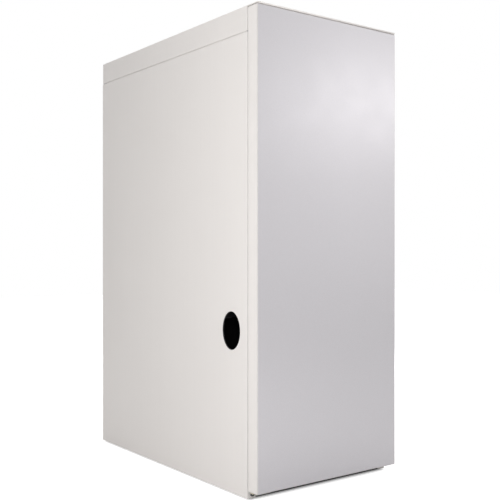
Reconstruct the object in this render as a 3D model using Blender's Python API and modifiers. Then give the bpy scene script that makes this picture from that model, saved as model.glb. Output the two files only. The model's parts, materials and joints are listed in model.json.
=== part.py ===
"""A floor standing gas boiler: a sheet casing and its full-height door round a burner and a steel boiler.

Metres, +Z up. X is the width with the left side at -X, the door faces -Y, and the water and flue
connections stand out behind at +Y. The origin is on the floor under the middle of the whole boiler.
"""

import math

import bmesh
import bpy
from mathutils import Matrix, Quaternion, Vector

# Casing
WIDTH = 0.335
DEPTH = 0.575
HEIGHT = 0.850
REAR_REACH = 0.045
SHEET = 0.001
FOLD = 0.0018
SEAT = 0.0003
OVERRUN = 0.010
WELD = 0.0006
MERGE = 0.00005

# Side panels, top cover and rear panel
PANEL_FLANGE = 0.018
PANEL_FLOOR_GAP = 0.003
LID_SKIRT = 0.044
LID_SEAM = 0.0015
REAR_RETURN = 0.015
OVAL_WIDTH = 0.053
OVAL_HEIGHT = 0.068
OVAL_FROM_FRONT = 0.076
OVAL_UP = 0.288
PIPE_HOLE_MARGIN = 0.004

# Base frame and feet
FRAME_SHEET = 0.0015
RAIL_BOTTOM = 0.010
RAIL_TOP = 0.050
RAIL_WIDTH = 0.036
CROSS_FLANGE = 0.025
FOOT_INSET_X = 0.018
FOOT_INSET_Y = 0.030
FOOT_RADIUS = 0.013
FOOT_PAD = 0.0055
FOOT_CHAMFER = 0.0015
FOOT_NUT_RADIUS = 0.0075
STUD_RADIUS = 0.004
STUD_HEAD_ROOM = 0.004

# Top rail
TOP_RAIL_HEIGHT = 0.052
TOP_RAIL_FLANGE = 0.025

# Door, its hinge and its catches
DOOR_RETURN = 0.026
DOOR_SEAM = 0.0025
DOOR_FLOOR_GAP = 0.016
DOOR_LIP = 0.014
LIP_TUCK = 0.0002
PIN_INSET = 0.005
PIN_RADIUS = 0.0025
PIN_REACH = 0.008
UPPER_PLATE = 0.0014
LOWER_PLATE = 0.002
PLATE_LENGTH = 0.036
PLATE_NOSE = 0.006
PLATE_TAIL = 0.024
LOWER_PLATE_LENGTH = 0.050
LOWER_PLATE_FLANGE = 0.010
GUIDE_WIDTH = 0.013
GUIDE_HEIGHT = 0.034
GUIDE_DROP = 0.012
GUIDE_SHEET = 0.002
GUIDE_BACK = 0.0045
BOLT_TRAVEL = 0.008
BOLT_COLLAR_RADIUS = 0.0034
BOLT_COLLAR_HEIGHT = 0.005
BOLT_TAIL = 0.003
PEG_RADIUS = 0.002
PEG_LENGTH = 0.020
MAGNET_WIDTH = 0.010
MAGNET_HEIGHT = 0.040
MAGNET_PROUD = 0.0018
MAGNET_DEPTH = 0.008
LOWER_MAGNET_UP = 0.200
UPPER_MAGNET_DROP = 0.110

# Instrument panel and what it carries
PANEL_DROP = 0.170
PANEL_HEIGHT = 0.120
PANEL_SHEET = 0.0012
PANEL_RETURN = 0.020
DIAL_X = -0.085
CASE_RADIUS = 0.026
CASE_BORE = 0.0248
BEZEL_RADIUS = 0.029
BEZEL_DEPTH = 0.0045
CASE_DEPTH = 0.028
DIAL_RECESS = 0.0065
GLASS_RECESS = 0.001
GLASS_THICKNESS = 0.0015
NEEDLE_LENGTH = 0.018
NEEDLE_TAIL = 0.006
NEEDLE_WIDTH = 0.0022
NEEDLE_THICKNESS = 0.0008
NEEDLE_STAND = 0.0010
NEEDLE_HUB_RADIUS = 0.0032
NEEDLE_REST = math.radians(135)
PIEZO_RADIUS = 0.009
PIEZO_BEZEL_RADIUS = 0.013
PIEZO_DEPTH = 0.040
PIEZO_BORE = 0.0065
PIEZO_BORE_DEPTH = 0.026
BUTTON_PROUD = 0.009
BUTTON_EDGE = 0.001
PIEZO_TRAVEL = 0.007
LIMIT_X = 0.085
LIMIT_BODY = 0.030
LIMIT_DEPTH = 0.018
LIMIT_NECK_RADIUS = 0.007
LIMIT_NUT_RADIUS = 0.011
LIMIT_NUT = 0.004
RESET_RADIUS = 0.0035
RESET_PROUD = 0.004
RESET_TRAVEL = 0.003
RESET_DEPTH = 0.009
CAPILLARY_RADIUS = 0.001
CAPILLARY_BEND_SHARE = 0.35

# Heat exchanger
MAT_FROM_VALVE = 0.0312
BODY_FROM_BACK = 0.0725
BODY_FROM_SIDE = 0.0375
WALL = 0.003
JACKET = 0.020
STAND_MARGIN = 0.012
STAND_SHEET = 0.002
STAND_FLANGE = 0.030
FIREBOX_SHARE = 0.489
TUBE_RADIUS = 0.042
TUBE_WALL = 0.0025
TUBE_COUNT = 2
TUBE_GAP_SHARE = 0.275
STRIP_WIDTH = 0.070
STRIP_THICKNESS = 0.0015
STRIP_TURNS = 1.5
STRIP_STEPS = 18
STRIP_CLEAR = 0.012
HANGER_HEIGHT = 0.003
HANGER_WIDTH = 0.006
HANGER_REST = 0.004
MAT = 0.022
MAT_END_GAP = 0.002
MAT_HOLE_MARGIN = 0.002
POCKET_X = 0.0
POCKET_RISE = 0.100
POCKET_RADIUS = 0.006
POCKET_HEAD_RADIUS = 0.010
POCKET_HEAD = 0.010
POCKET_DEPTH = 0.045

# Flue
FLUE_RADIUS = 0.065
FLUE_WALL = 0.0015
HOOD_INSET = 0.015
HOOD_FRONT = 0.050
HOOD_REAR = 0.028
HOOD_DROP = 0.050
RELIEF_HALF = 0.080
RELIEF_LOW = 0.020
RELIEF_HEIGHT = 0.040
COLLAR_TUCK = 0.008
COLLAR_FLANGE = 0.010
COVER_HALF = 0.070
COVER_MARGIN = 0.015
COVER_LENGTH = 0.130
COVER_GRIP_RADIUS = 0.004
COVER_GRIP_HEIGHT = 0.018
COVER_GRIP_HEAD = 0.006
COVER_GRIP_HEAD_RADIUS = 0.010

# Water connections
WATER_INSET = 0.045
WATER_RADIUS = 0.021
WATER_BORE = 0.018
WATER_TUCK = 0.005
FLOW_DROP = 0.050
RETURN_RISE = 0.060
DRAIN_RISE = 0.035
DRAIN_RADIUS = 0.009
DRAIN_BORE = 0.0045
COCK_RADIUS = 0.013
COCK_LENGTH = 0.024
COCK_FROM_END = 0.014
BOSS_RADIUS = 0.007
BOSS_HEIGHT = 0.016
STEM_RADIUS = 0.003
STEM_NUT = 0.003
STEM_NUT_RADIUS = 0.005
LEVER_LENGTH = 0.046
LEVER_WIDTH = 0.012
LEVER_THICKNESS = 0.003

# Gas train
VALVE_HALF = 0.045
VALVE_DEPTH = 0.056
VALVE_HEIGHT = 0.070
VALVE_EDGE = 0.004
VALVE_SPIGOT_RADIUS = 0.013
VALVE_SPIGOT = 0.010
VALVE_KNOB_X = -0.014
KNOB_RADIUS = 0.020
KNOB_LENGTH = 0.022
KNOB_EDGE = 0.0015
KNOB_SPINDLE_RADIUS = 0.005
KNOB_SPINDLE = 0.008
KNOB_GRIP = 0.006
KNOB_GRIP_HALF = 0.004
PILOT_BUTTON_X = 0.027
PILOT_BUTTON_RADIUS = 0.008
PILOT_BUTTON_PROUD = 0.012
PILOT_BUTTON_DEPTH = 0.014
PILOT_BUTTON_TRAVEL = 0.006
INLET_RADIUS = 0.0107
INLET_BORE = 0.0075
UNION_FROM_SIDE = 0.0375
UNION_RADIUS = 0.017
UNION_LENGTH = 0.016
OUTLET_RADIUS = 0.007
OUTLET_BEND = 0.022
BURNER_UP = 0.135
BURNER_PITCH = 0.070
BURNER_COUNT = 3
BURNER_RADIUS = 0.018
BURNER_BORE = 0.0165
BURNER_MOUTH = 0.006
BURNER_END_WALL = 0.003
SLOT_LENGTH = 0.018
SLOT_WIDTH = 0.005
SLOT_PITCH = 0.032
SLOT_START = 0.045
SLOT_END = 0.045
BURNER_PLATE_LOW = 0.060
BURNER_PLATE_GAP = 0.002
MANIFOLD_FROM_PLATE = 0.035
MANIFOLD_RADIUS = 0.010
MANIFOLD_OVERHANG = 0.009
MANIFOLD_LEG_GAP = 0.011
MANIFOLD_LEG_RADIUS = 0.004
MANIFOLD_BOSS_RADIUS = 0.009
MANIFOLD_BOSS = 0.016
INJECTOR_RADIUS = 0.005
INJECTOR_LENGTH = 0.018
SIGHT_X = 0.035
SIGHT_RADIUS = 0.010
SIGHT_GLASS = 0.003
SIGHT_COVER_RADIUS = 0.014
SIGHT_COVER_SHEET = 0.0015
SIGHT_PIVOT_UP = 0.020
SIGHT_TAB_HALF = 0.0045
SIGHT_RIVET_RADIUS = 0.0025
SIGHT_RIVET_HEAD_RADIUS = 0.0045
SIGHT_RIVET_HEAD = 0.001
PILOT_X = -0.026
PILOT_RISE = 0.033
PILOT_SPREAD = 0.012
PILOT_REACH = 0.025
PILOT_BODY_RADIUS = 0.005
PILOT_NUT_RADIUS = 0.0065
PILOT_TUBE_RADIUS = 0.002
PROBE_RADIUS = 0.0022
PROBE_NUT_RADIUS = 0.0045
NUT_LENGTH = 0.006
ELECTRODE_RADIUS = 0.0035
ELECTRODE_PIN_RADIUS = 0.001
ELECTRODE_PROUD = 0.009
LEAD_RADIUS = 0.0012
LEAD_BEND = 0.014
LEAD_BEHIND_VALVE = 0.012

# Faceting
ROUND = 32
FINE_ROUND = 48
SMALL_ROUND = 16
HEX = 6
BURNER_ROUND = 20
LEVER_STEPS = 6
COVER_STEPS = 20
BEND_STEPS = 5
FOLD_STEPS = 3
SMOOTH_ANGLE = math.radians(40)

# Places worked out from the sizes
FRONT = -(DEPTH + REAR_REACH) / 2
BACK = FRONT + DEPTH
SIDE = WIDTH / 2
TAIL = BACK + REAR_REACH
DOOR_REAR = FRONT + DOOR_RETURN
CASE_FRONT = DOOR_REAR + DOOR_SEAM
LID_UNDER = HEIGHT - SHEET
INNER_SIDE = SIDE - SHEET - SEAT
INNER_BACK = BACK - SHEET - SEAT
FRAME_FRONT = CASE_FRONT + SHEET + SEAT
CROSS_TOP = RAIL_TOP + SEAT + FRAME_SHEET
UPPER_PLATE_LOW = LID_UNDER - SEAT - UPPER_PLATE
TOP_RAIL_TOP = UPPER_PLATE_LOW - SEAT
DOOR_LOW = DOOR_FLOOR_GAP
DOOR_HIGH = UPPER_PLATE_LOW - SEAT
DOOR_INNER = FRONT + SHEET
HINGE_X = -SIDE + PIN_INSET
HINGE_Y = DOOR_REAR - PIN_INSET
OVAL_Y = FRONT + OVAL_FROM_FRONT
VALVE_FRONT = OVAL_Y - VALVE_DEPTH / 2
VALVE_REAR = OVAL_Y + VALVE_DEPTH / 2
VALVE_LOW = OVAL_UP - VALVE_HEIGHT / 2
PANEL_HIGH = HEIGHT - PANEL_DROP
PANEL_LOW = PANEL_HIGH - PANEL_HEIGHT
DIAL_Z = (PANEL_LOW + PANEL_HIGH) / 2
PIEZO_X = PILOT_X + PILOT_SPREAD
PILOT_Z = BURNER_UP + PILOT_RISE
STAND_HIGH = PILOT_Z + SIGHT_PIVOT_UP + STAND_MARGIN
MAT_FRONT = VALVE_REAR + MAT_FROM_VALVE
BODY_FRONT = MAT_FRONT + MAT + SEAT
BODY_REAR = BACK - BODY_FROM_BACK
BODY_MIDDLE = (BODY_FRONT + BODY_REAR) / 2
BODY_HALF = SIDE - BODY_FROM_SIDE
BODY_LOW = STAND_HIGH + SEAT
HOOD_HIGH = HEIGHT - HOOD_DROP
FLUE_UP = HOOD_HIGH - FLUE_RADIUS - COLLAR_FLANGE
BODY_HIGH = FLUE_UP - FLUE_RADIUS - COLLAR_FLANGE
FIREBOX_HIGH = STAND_HIGH + FIREBOX_SHARE * (BODY_HIGH - STAND_HIGH)
FIREBOX_INSET = WALL + JACKET
FIREBOX_DEPTH = BODY_REAR - BODY_FRONT - 2 * FIREBOX_INSET
TUBE_ROOM = FIREBOX_DEPTH - TUBE_COUNT * 2 * TUBE_RADIUS
TUBE_PITCH = 2 * TUBE_RADIUS + TUBE_GAP_SHARE * TUBE_ROOM
POCKET_Z = FIREBOX_HIGH + POCKET_RISE
PLATE_FACE = BODY_FRONT - SEAT - STAND_SHEET
HOOD_HALF = BODY_HALF - HOOD_INSET
WATER_X = BODY_HALF - WATER_INSET
FLOW_UP = BODY_HIGH - FLOW_DROP
RETURN_UP = STAND_HIGH + RETURN_RISE
DRAIN_UP = STAND_HIGH + DRAIN_RISE

UP = (0, 0, 0)
TO_FRONT = (math.pi / 2, 0, 0)
TO_BACK = (-math.pi / 2, 0, 0)
TO_LEFT = (0, -math.pi / 2, 0)


def new_collection(name):
    made = bpy.data.collections.new(name)
    bpy.context.scene.collection.children.link(made)
    return made


def new_material(name, colour, roughness, metallic=0.0, transmission=0.0):
    made = bpy.data.materials.new(name)
    made.use_nodes = True
    shader = made.node_tree.nodes["Principled BSDF"]
    shader.inputs["Base Color"].default_value = (*colour, 1)
    shader.inputs["Roughness"].default_value = roughness
    shader.inputs["Metallic"].default_value = metallic
    shader.inputs["Transmission Weight"].default_value = transmission
    return made


for leftover in list(bpy.data.objects):
    bpy.data.objects.remove(leftover)

PARTS = new_collection("gas_boiler")
CUTTERS = new_collection("cutters")

DOOR_SILVER = new_material("door_silver", (0.58, 0.57, 0.58), 0.38, 0.35)
CASING_WHITE = new_material("casing_white", (0.78, 0.75, 0.72), 0.42)
FRAME_BLACK = new_material("frame_black", (0.03, 0.03, 0.032), 0.6)
ZINC = new_material("zinc_plate", (0.55, 0.56, 0.57), 0.35, 0.9)
BOILER_PAINT = new_material("boiler_paint", (0.05, 0.052, 0.055), 0.55)
GALVANISED = new_material("galvanised_sheet", (0.5, 0.51, 0.52), 0.45, 0.85)
BRASS = new_material("brass", (0.62, 0.45, 0.2), 0.3, 1.0)
STEEL = new_material("bright_steel", (0.6, 0.6, 0.6), 0.3, 1.0)
COPPER = new_material("copper", (0.72, 0.38, 0.24), 0.3, 1.0)
BLACK_PLASTIC = new_material("black_plastic", (0.02, 0.02, 0.02), 0.45)
RED_PLASTIC = new_material("red_plastic", (0.5, 0.03, 0.02), 0.4)
VALVE_GREY = new_material("valve_casting", (0.3, 0.31, 0.32), 0.5, 0.7)
PANEL_GREY = new_material("panel_grey", (0.3, 0.31, 0.32), 0.45)
CLEAR_GLASS = new_material("clear_glass", (0.95, 0.97, 0.97), 0.05, 0.0, 0.95)
CERAMIC = new_material("ceramic", (0.85, 0.83, 0.78), 0.35)
FOIL_MAT = new_material("foil_faced_mat", (0.7, 0.7, 0.7), 0.35, 0.8)
RUBBER = new_material("foot_rubber", (0.02, 0.02, 0.02), 0.75)


def add_object(name, mesh, material, at, turn=UP):
    """A part in its material or, with no material, a hidden cutter or a shape that a Boolean joins."""
    obj = bpy.data.objects.new(name, mesh)
    obj.location = at
    obj.rotation_euler = turn
    if material is None:
        CUTTERS.objects.link(obj)
        obj.hide_render = True
        obj.display_type = "WIRE"
    else:
        PARTS.objects.link(obj)
        mesh.materials.append(material)
    return obj


def mesh_of(shape, name):
    mesh = bpy.data.meshes.new(name)
    shape.to_mesh(mesh)
    shape.free()
    return mesh


def box(name, x, y, z, material=None, origin=None):
    """A block between the given X, Y and Z limits."""
    low = Vector((x[0], y[0], z[0]))
    high = Vector((x[1], y[1], z[1]))
    middle = (low + high) / 2
    at = middle if origin is None else Vector(origin)
    shape = bmesh.new()
    bmesh.ops.create_cube(shape, size=1)
    bmesh.ops.scale(shape, vec=high - low, verts=shape.verts)
    bmesh.ops.translate(shape, vec=middle - at, verts=shape.verts)
    return add_object(name, mesh_of(shape, name), material, at)


def rod(name, start, end, radius, material=None, sides=SMALL_ROUND):
    """A round bar, or a hexagonal one with six sides, from start to end."""
    start = Vector(start)
    end = Vector(end)
    length = (end - start).length
    shape = bmesh.new()
    bmesh.ops.create_cone(shape, cap_ends=True, segments=sides, radius1=radius, radius2=radius, depth=length)
    turn = (end - start).to_track_quat("Z", "Y").to_matrix().to_4x4()
    bmesh.ops.transform(shape, matrix=turn, verts=shape.verts)
    mesh = mesh_of(shape, name)
    mesh.shade_smooth()
    mesh.set_sharp_from_angle(angle=SMOOTH_ANGLE)
    return add_object(name, mesh, material, (start + end) / 2)


def turned(name, profile, at, facing, material=None, closed=False, steps=ROUND):
    """A profile of radii and heights turned about its own Z axis, which then faces the way given."""
    count = len(profile)
    edges = [(i, i + 1) for i in range(count - 1)]
    if closed:
        edges.append((count - 1, 0))
    mesh = bpy.data.meshes.new(name)
    mesh.from_pydata([(radius, 0, height) for radius, height in profile], edges, [])
    obj = add_object(name, mesh, material, at, facing)
    screw = obj.modifiers.new("Turn", "SCREW")
    screw.steps = steps
    screw.render_steps = steps
    screw.use_merge_vertices = True
    screw.merge_threshold = MERGE
    return obj


def ring(name, outer, inner, low, high, at, facing, material=None, steps=ROUND):
    """A tube with square ends, from height low to high on its own axis."""
    profile = [(outer, high), (outer, low), (inner, low), (inner, high)]
    return turned(name, profile, at, facing, material, closed=True, steps=steps)


def tray(name, x, y, z, open_sides, thickness, material, origin=None, fold=0):
    """A sheet box inside the given limits, without the sides that face the open directions."""
    obj = box(name, x, y, z, material, origin)
    shape = bmesh.new()
    shape.from_mesh(obj.data)
    looks = [Vector(side) for side in open_sides]
    lost = [face for face in shape.faces if any(face.normal.dot(look) > 0.5 for look in looks)]
    bmesh.ops.delete(shape, geom=lost, context="FACES")
    shape.to_mesh(obj.data)
    shape.free()
    if fold:
        edge = obj.modifiers.new("Folds", "BEVEL")
        edge.width = fold
        edge.segments = FOLD_STEPS
        obj.data.shade_smooth()
        obj.data.set_sharp_from_angle(angle=SMOOTH_ANGLE)
    thicken(obj, thickness)
    return obj


def thicken(obj, thickness):
    shell = obj.modifiers.new("Sheet", "SOLIDIFY")
    shell.thickness = thickness
    shell.offset = -1
    shell.use_even_offset = True


def folded(name, outline, axis, span, thickness, material=None):
    """A folded sheet: its outer face's outline drawn out along an axis, with the sheet on the left."""
    order = {"X": (2, 0, 1), "Y": (0, 2, 1), "Z": (0, 1, 2)}[axis]
    places = [[(u, v, end)[i] for i in order] for end in span for u, v in outline]
    count = len(outline)
    faces = [(i, i + 1, count + i + 1, count + i) for i in range(count - 1)]
    if axis == "Y":
        faces = [face[::-1] for face in faces]
    mesh = bpy.data.meshes.new(name)
    mesh.from_pydata(places, [], faces)
    obj = add_object(name, mesh, material, (0, 0, 0))
    thicken(obj, thickness)
    return obj


def mirrored(outline):
    """The outline on the other side of the middle, run the other way so that its sheet stays inside."""
    return [(-u, v) for u, v in reversed(outline)]


def add_boolean(obj, other, operation):
    step = obj.modifiers.new(other.name, "BOOLEAN")
    step.operation = operation
    step.object = other
    step.solver = "EXACT"


def cut(obj, *cutters):
    for cutter in cutters:
        add_boolean(obj, cutter, "DIFFERENCE")


def join(obj, *others):
    for other in others:
        add_boolean(obj, other, "UNION")


def bent_path(corners, bend):
    """The corners' path with each inner corner turned into an arc of the given radius."""
    corners = [Vector(corner) for corner in corners]
    path = [corners[0]]
    for before, corner, after in zip(corners, corners[1:], corners[2:]):
        arriving = (corner - before).normalized()
        leaving = (after - corner).normalized()
        angle = arriving.angle(leaving)
        centre = corner + (leaving - arriving).normalized() * bend / math.cos(angle / 2)
        start = corner - arriving * bend * math.tan(angle / 2) - centre
        axis = arriving.cross(leaving)
        for step in range(BEND_STEPS + 1):
            path.append(centre + Quaternion(axis, angle * step / BEND_STEPS) @ start)
    path.append(corners[-1])
    return path


def flat(name, outline, thickness, at, facing, material=None):
    """A flat outline of the given thickness, which rises from the given place the way it faces."""
    curve = bpy.data.curves.new(name, "CURVE")
    curve.dimensions = "2D"
    curve.fill_mode = "BOTH"
    curve.extrude = thickness / 2
    spline = curve.splines.new("POLY")
    spline.points.add(len(outline) - 1)
    for point, (u, v) in zip(spline.points, outline):
        point.co = (u, v, 0, 1)
    spline.use_cyclic_u = True
    mesh = mesh_from_curve(name, curve)
    mesh.transform(Matrix.Translation((0, 0, thickness / 2)))
    return add_object(name, mesh, material, at, facing)


def mesh_from_curve(name, curve):
    """The curve's tube or slab as a mesh with its caps welded on."""
    guide = bpy.data.objects.new(name + "_route", curve)
    CUTTERS.objects.link(guide)
    bpy.context.view_layer.update()
    mesh = bpy.data.meshes.new_from_object(guide.evaluated_get(bpy.context.evaluated_depsgraph_get()))
    bpy.data.objects.remove(guide)
    shape = bmesh.new()
    shape.from_mesh(mesh)
    bmesh.ops.remove_doubles(shape, verts=shape.verts, dist=MERGE)
    bmesh.ops.recalc_face_normals(shape, faces=shape.faces)
    shape.to_mesh(mesh)
    shape.free()
    mesh.name = name
    mesh.materials.clear()
    return mesh


def pipe(name, path, radius, material=None):
    """A round bar bent along the path."""
    curve = bpy.data.curves.new(name, "CURVE")
    curve.dimensions = "3D"
    curve.bevel_depth = radius
    curve.bevel_resolution = 2
    curve.use_fill_caps = True
    spline = curve.splines.new("POLY")
    spline.points.add(len(path) - 1)
    for point, place in zip(spline.points, path):
        point.co = (*place, 1)
    mesh = mesh_from_curve(name, curve)
    mesh.shade_smooth()
    mesh.set_sharp_from_angle(angle=SMOOTH_ANGLE)
    return add_object(name, mesh, material, (0, 0, 0))


def arc(centre, radius, first, last, steps):
    """Points round a centre from the first angle to the last, in radians."""
    turns = [first + (last - first) * step / steps for step in range(steps + 1)]
    return [(centre[0] + radius * math.cos(turn), centre[1] + radius * math.sin(turn)) for turn in turns]


def make_base():
    """Two rails and two cross members, open underneath so that the burner can draw its air."""
    rail = [
        (INNER_SIDE - RAIL_WIDTH, RAIL_BOTTOM),
        (INNER_SIDE, RAIL_BOTTOM),
        (INNER_SIDE, RAIL_TOP),
        (INNER_SIDE - RAIL_WIDTH, RAIL_TOP),
    ]
    span = (FRAME_FRONT + FRAME_SHEET + SEAT, INNER_BACK - FRAME_SHEET - SEAT)
    rails = {
        -1: folded("base_rail_left", mirrored(rail), "Y", span, FRAME_SHEET, FRAME_BLACK),
        1: folded("base_rail_right", rail, "Y", span, FRAME_SHEET, FRAME_BLACK),
    }
    across = (-INNER_SIDE, INNER_SIDE)
    low = PANEL_FLOOR_GAP
    front = [(FRAME_FRONT + CROSS_FLANGE, CROSS_TOP), (FRAME_FRONT, CROSS_TOP), (FRAME_FRONT, low)]
    rear = [(INNER_BACK, low), (INNER_BACK, CROSS_TOP), (INNER_BACK - CROSS_FLANGE, CROSS_TOP)]
    folded("base_cross_front", front, "X", across, FRAME_SHEET, FRAME_BLACK)
    folded("base_cross_rear", rear, "X", across, FRAME_SHEET, FRAME_BLACK)
    for side, end, x, y in foot_places():
        start = (x, y, RAIL_BOTTOM - OVERRUN)
        stop = (x, y, RAIL_BOTTOM + FRAME_SHEET + OVERRUN)
        cut(rails[side], rod(f"foot_hole_{end}", start, stop, STUD_RADIUS + SEAT))


def foot_places():
    """Side, end, X and Y of each foot."""
    ends = (("front", CASE_FRONT + FOOT_INSET_Y), ("rear", BACK - FOOT_INSET_Y))
    return [(side, end, side * (INNER_SIDE - FOOT_INSET_X), y) for side in (-1, 1) for end, y in ends]


def make_feet():
    nut_top = RAIL_BOTTOM - SEAT
    stud_top = RAIL_TOP - FRAME_SHEET - STUD_HEAD_ROOM
    profile = [
        (0, stud_top),
        (STUD_RADIUS, stud_top),
        (STUD_RADIUS, nut_top),
        (FOOT_NUT_RADIUS, nut_top),
        (FOOT_NUT_RADIUS, FOOT_PAD),
        (FOOT_RADIUS - FOOT_CHAMFER, FOOT_PAD),
        (FOOT_RADIUS, FOOT_PAD - FOOT_CHAMFER),
        (FOOT_RADIUS, 0),
        (0, 0),
    ]
    for side, end, x, y in foot_places():
        hand = "left" if side < 0 else "right"
        turned(f"foot_{end}_{hand}", profile, (x, y, 0), UP, RUBBER, steps=SMALL_ROUND)


def make_casing():
    """Side panels, rear panel, top cover and the rail that ties the front together under it."""
    corner = arc((SIDE - FOLD, CASE_FRONT + FOLD), FOLD, -math.pi / 2, 0, FOLD_STEPS)
    panel = [(SIDE - PANEL_FLANGE, CASE_FRONT), *corner, (SIDE, BACK)]
    rise = (PANEL_FLOOR_GAP, HEIGHT - LID_SKIRT - LID_SEAM)
    left = folded("left_side_panel", mirrored(panel), "Z", rise, SHEET, CASING_WHITE)
    right = folded("right_side_panel", panel, "Z", rise, SHEET, CASING_WHITE)
    oval = rod(
        "oval_hole",
        (-SIDE - OVERRUN, OVAL_Y, OVAL_UP),
        (-SIDE + OVERRUN, OVAL_Y, OVAL_UP),
        OVAL_WIDTH / 2,
        sides=FINE_ROUND,
    )
    oval.data.transform(Matrix.Diagonal((1, 1, OVAL_HEIGHT / OVAL_WIDTH, 1)))
    cut(left, oval)
    make_magnets(right)

    lid = tray(
        "top_cover",
        (-SIDE, SIDE),
        (FRONT, BACK),
        (HEIGHT - LID_SKIRT, HEIGHT),
        [(0, 0, -1), (0, -1, 0)],
        SHEET,
        CASING_WHITE,
        fold=FOLD,
    )
    above_door = box(
        "skirt_front",
        (-SIDE - OVERRUN, SIDE + OVERRUN),
        (FRONT - OVERRUN, CASE_FRONT),
        (HEIGHT - LID_SKIRT - OVERRUN, LID_UNDER - SEAT),
    )
    cut(lid, above_door)

    rear = tray(
        "rear_panel",
        (-INNER_SIDE, INNER_SIDE),
        (INNER_BACK - REAR_RETURN, INNER_BACK),
        (CROSS_TOP + SEAT, LID_UNDER - SEAT),
        [(0, -1, 0)],
        SHEET,
        GALVANISED,
    )
    for name, x, z, radius in rear_connections():
        start = (x, INNER_BACK - SHEET - REAR_RETURN / 2, z)
        stop = (x, INNER_BACK + OVERRUN, z)
        cut(rear, rod(f"{name}_hole", start, stop, radius + PIPE_HOLE_MARGIN, sides=ROUND))

    rail = [
        (FRAME_FRONT + TOP_RAIL_FLANGE, TOP_RAIL_TOP),
        (FRAME_FRONT, TOP_RAIL_TOP),
        (FRAME_FRONT, TOP_RAIL_TOP - TOP_RAIL_HEIGHT),
        (FRAME_FRONT + TOP_RAIL_FLANGE, TOP_RAIL_TOP - TOP_RAIL_HEIGHT),
    ]
    folded("front_top_rail", rail, "X", (-INNER_SIDE, INNER_SIDE), FRAME_SHEET, GALVANISED)


def rear_connections():
    """Name, X, Z and outer radius of what leaves through the rear panel."""
    return [
        ("flue", 0, FLUE_UP, FLUE_RADIUS),
        ("flow", WATER_X, FLOW_UP, WATER_RADIUS),
        ("return", WATER_X, RETURN_UP, WATER_RADIUS),
        ("drain", -WATER_X, DRAIN_UP, DRAIN_RADIUS),
    ]


def make_magnets(panel):
    """Two magnets set in the right panel's flange, which hold the door's lip."""
    x = SIDE - (SHEET + DOOR_LIP) / 2
    half = MAGNET_WIDTH / 2
    proud = CASE_FRONT - MAGNET_PROUD
    deep = CASE_FRONT + MAGNET_DEPTH
    for end, z in (("lower", LOWER_MAGNET_UP), ("upper", HEIGHT - UPPER_MAGNET_DROP)):
        low = z - MAGNET_HEIGHT / 2
        high = z + MAGNET_HEIGHT / 2
        box(f"magnet_catch_{end}", (x - half, x + half), (proud, deep), (low, high), BLACK_PLASTIC)
        slot = box(
            f"magnet_slot_{end}",
            (x - half - SEAT, x + half + SEAT),
            (proud - OVERRUN, deep + OVERRUN),
            (low - SEAT, high + SEAT),
        )
        cut(panel, slot)


def make_door():
    """The full-height door on its hinge axis, with the bolt's guide welded in its upper left corner."""
    axis = (HINGE_X, HINGE_Y, DOOR_LOW)
    door = tray(
        "front_door",
        (-SIDE, SIDE),
        (FRONT, DOOR_REAR),
        (DOOR_LOW, DOOR_HIGH),
        [(0, 1, 0)],
        SHEET,
        DOOR_SILVER,
        axis,
        FOLD,
    )
    lip = box(
        "door_lip",
        (SIDE - DOOR_LIP, SIDE - SHEET + WELD),
        (DOOR_REAR - LIP_TUCK - SHEET, DOOR_REAR - LIP_TUCK),
        (DOOR_LOW + SHEET - WELD, DOOR_HIGH - SHEET + WELD),
    )
    guide_high = DOOR_HIGH - GUIDE_DROP
    guide_low = guide_high - GUIDE_HEIGHT
    guide = [
        (HINGE_Y + GUIDE_BACK, guide_high),
        (DOOR_INNER - WELD, guide_high),
        (DOOR_INNER - WELD, guide_low),
        (HINGE_Y + GUIDE_BACK, guide_low),
    ]
    across = (-SIDE + SHEET - WELD, HINGE_X + GUIDE_WIDTH)
    join(door, lip, folded("bolt_guide", guide, "X", across, GUIDE_SHEET))
    upper = on_hinge("upper_pin_hole", guide_low - OVERRUN, DOOR_HIGH + OVERRUN, PIN_RADIUS + SEAT)
    lower = on_hinge("lower_pin_hole", DOOR_LOW - OVERRUN, DOOR_LOW + SHEET + OVERRUN, PIN_RADIUS + SEAT)
    cut(door, upper, lower)
    make_bolt(guide_low, guide_high)
    make_hinge_plates()


def on_hinge(name, low, high, radius, material=None):
    """A round bar on the door's hinge axis."""
    return rod(name, (HINGE_X, HINGE_Y, low), (HINGE_X, HINGE_Y, high), radius, material)


def make_bolt(guide_low, guide_high):
    """The sprung bolt that is the door's upper pin; its peg pulls it down to lift the door off."""
    bolt = on_hinge("hinge_bolt", guide_low - BOLT_TAIL, LID_UNDER - SEAT, PIN_RADIUS, STEEL)
    collar_top = guide_high - GUIDE_SHEET - SEAT
    collar = on_hinge("bolt_collar", collar_top - BOLT_COLLAR_HEIGHT, collar_top, BOLT_COLLAR_RADIUS)
    peg_z = guide_low + GUIDE_SHEET + BOLT_TRAVEL + 2 * PEG_RADIUS
    peg = rod("bolt_peg", (HINGE_X, HINGE_Y, peg_z), (HINGE_X + PEG_LENGTH, HINGE_Y, peg_z), PEG_RADIUS)
    join(bolt, collar, peg)


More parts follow.
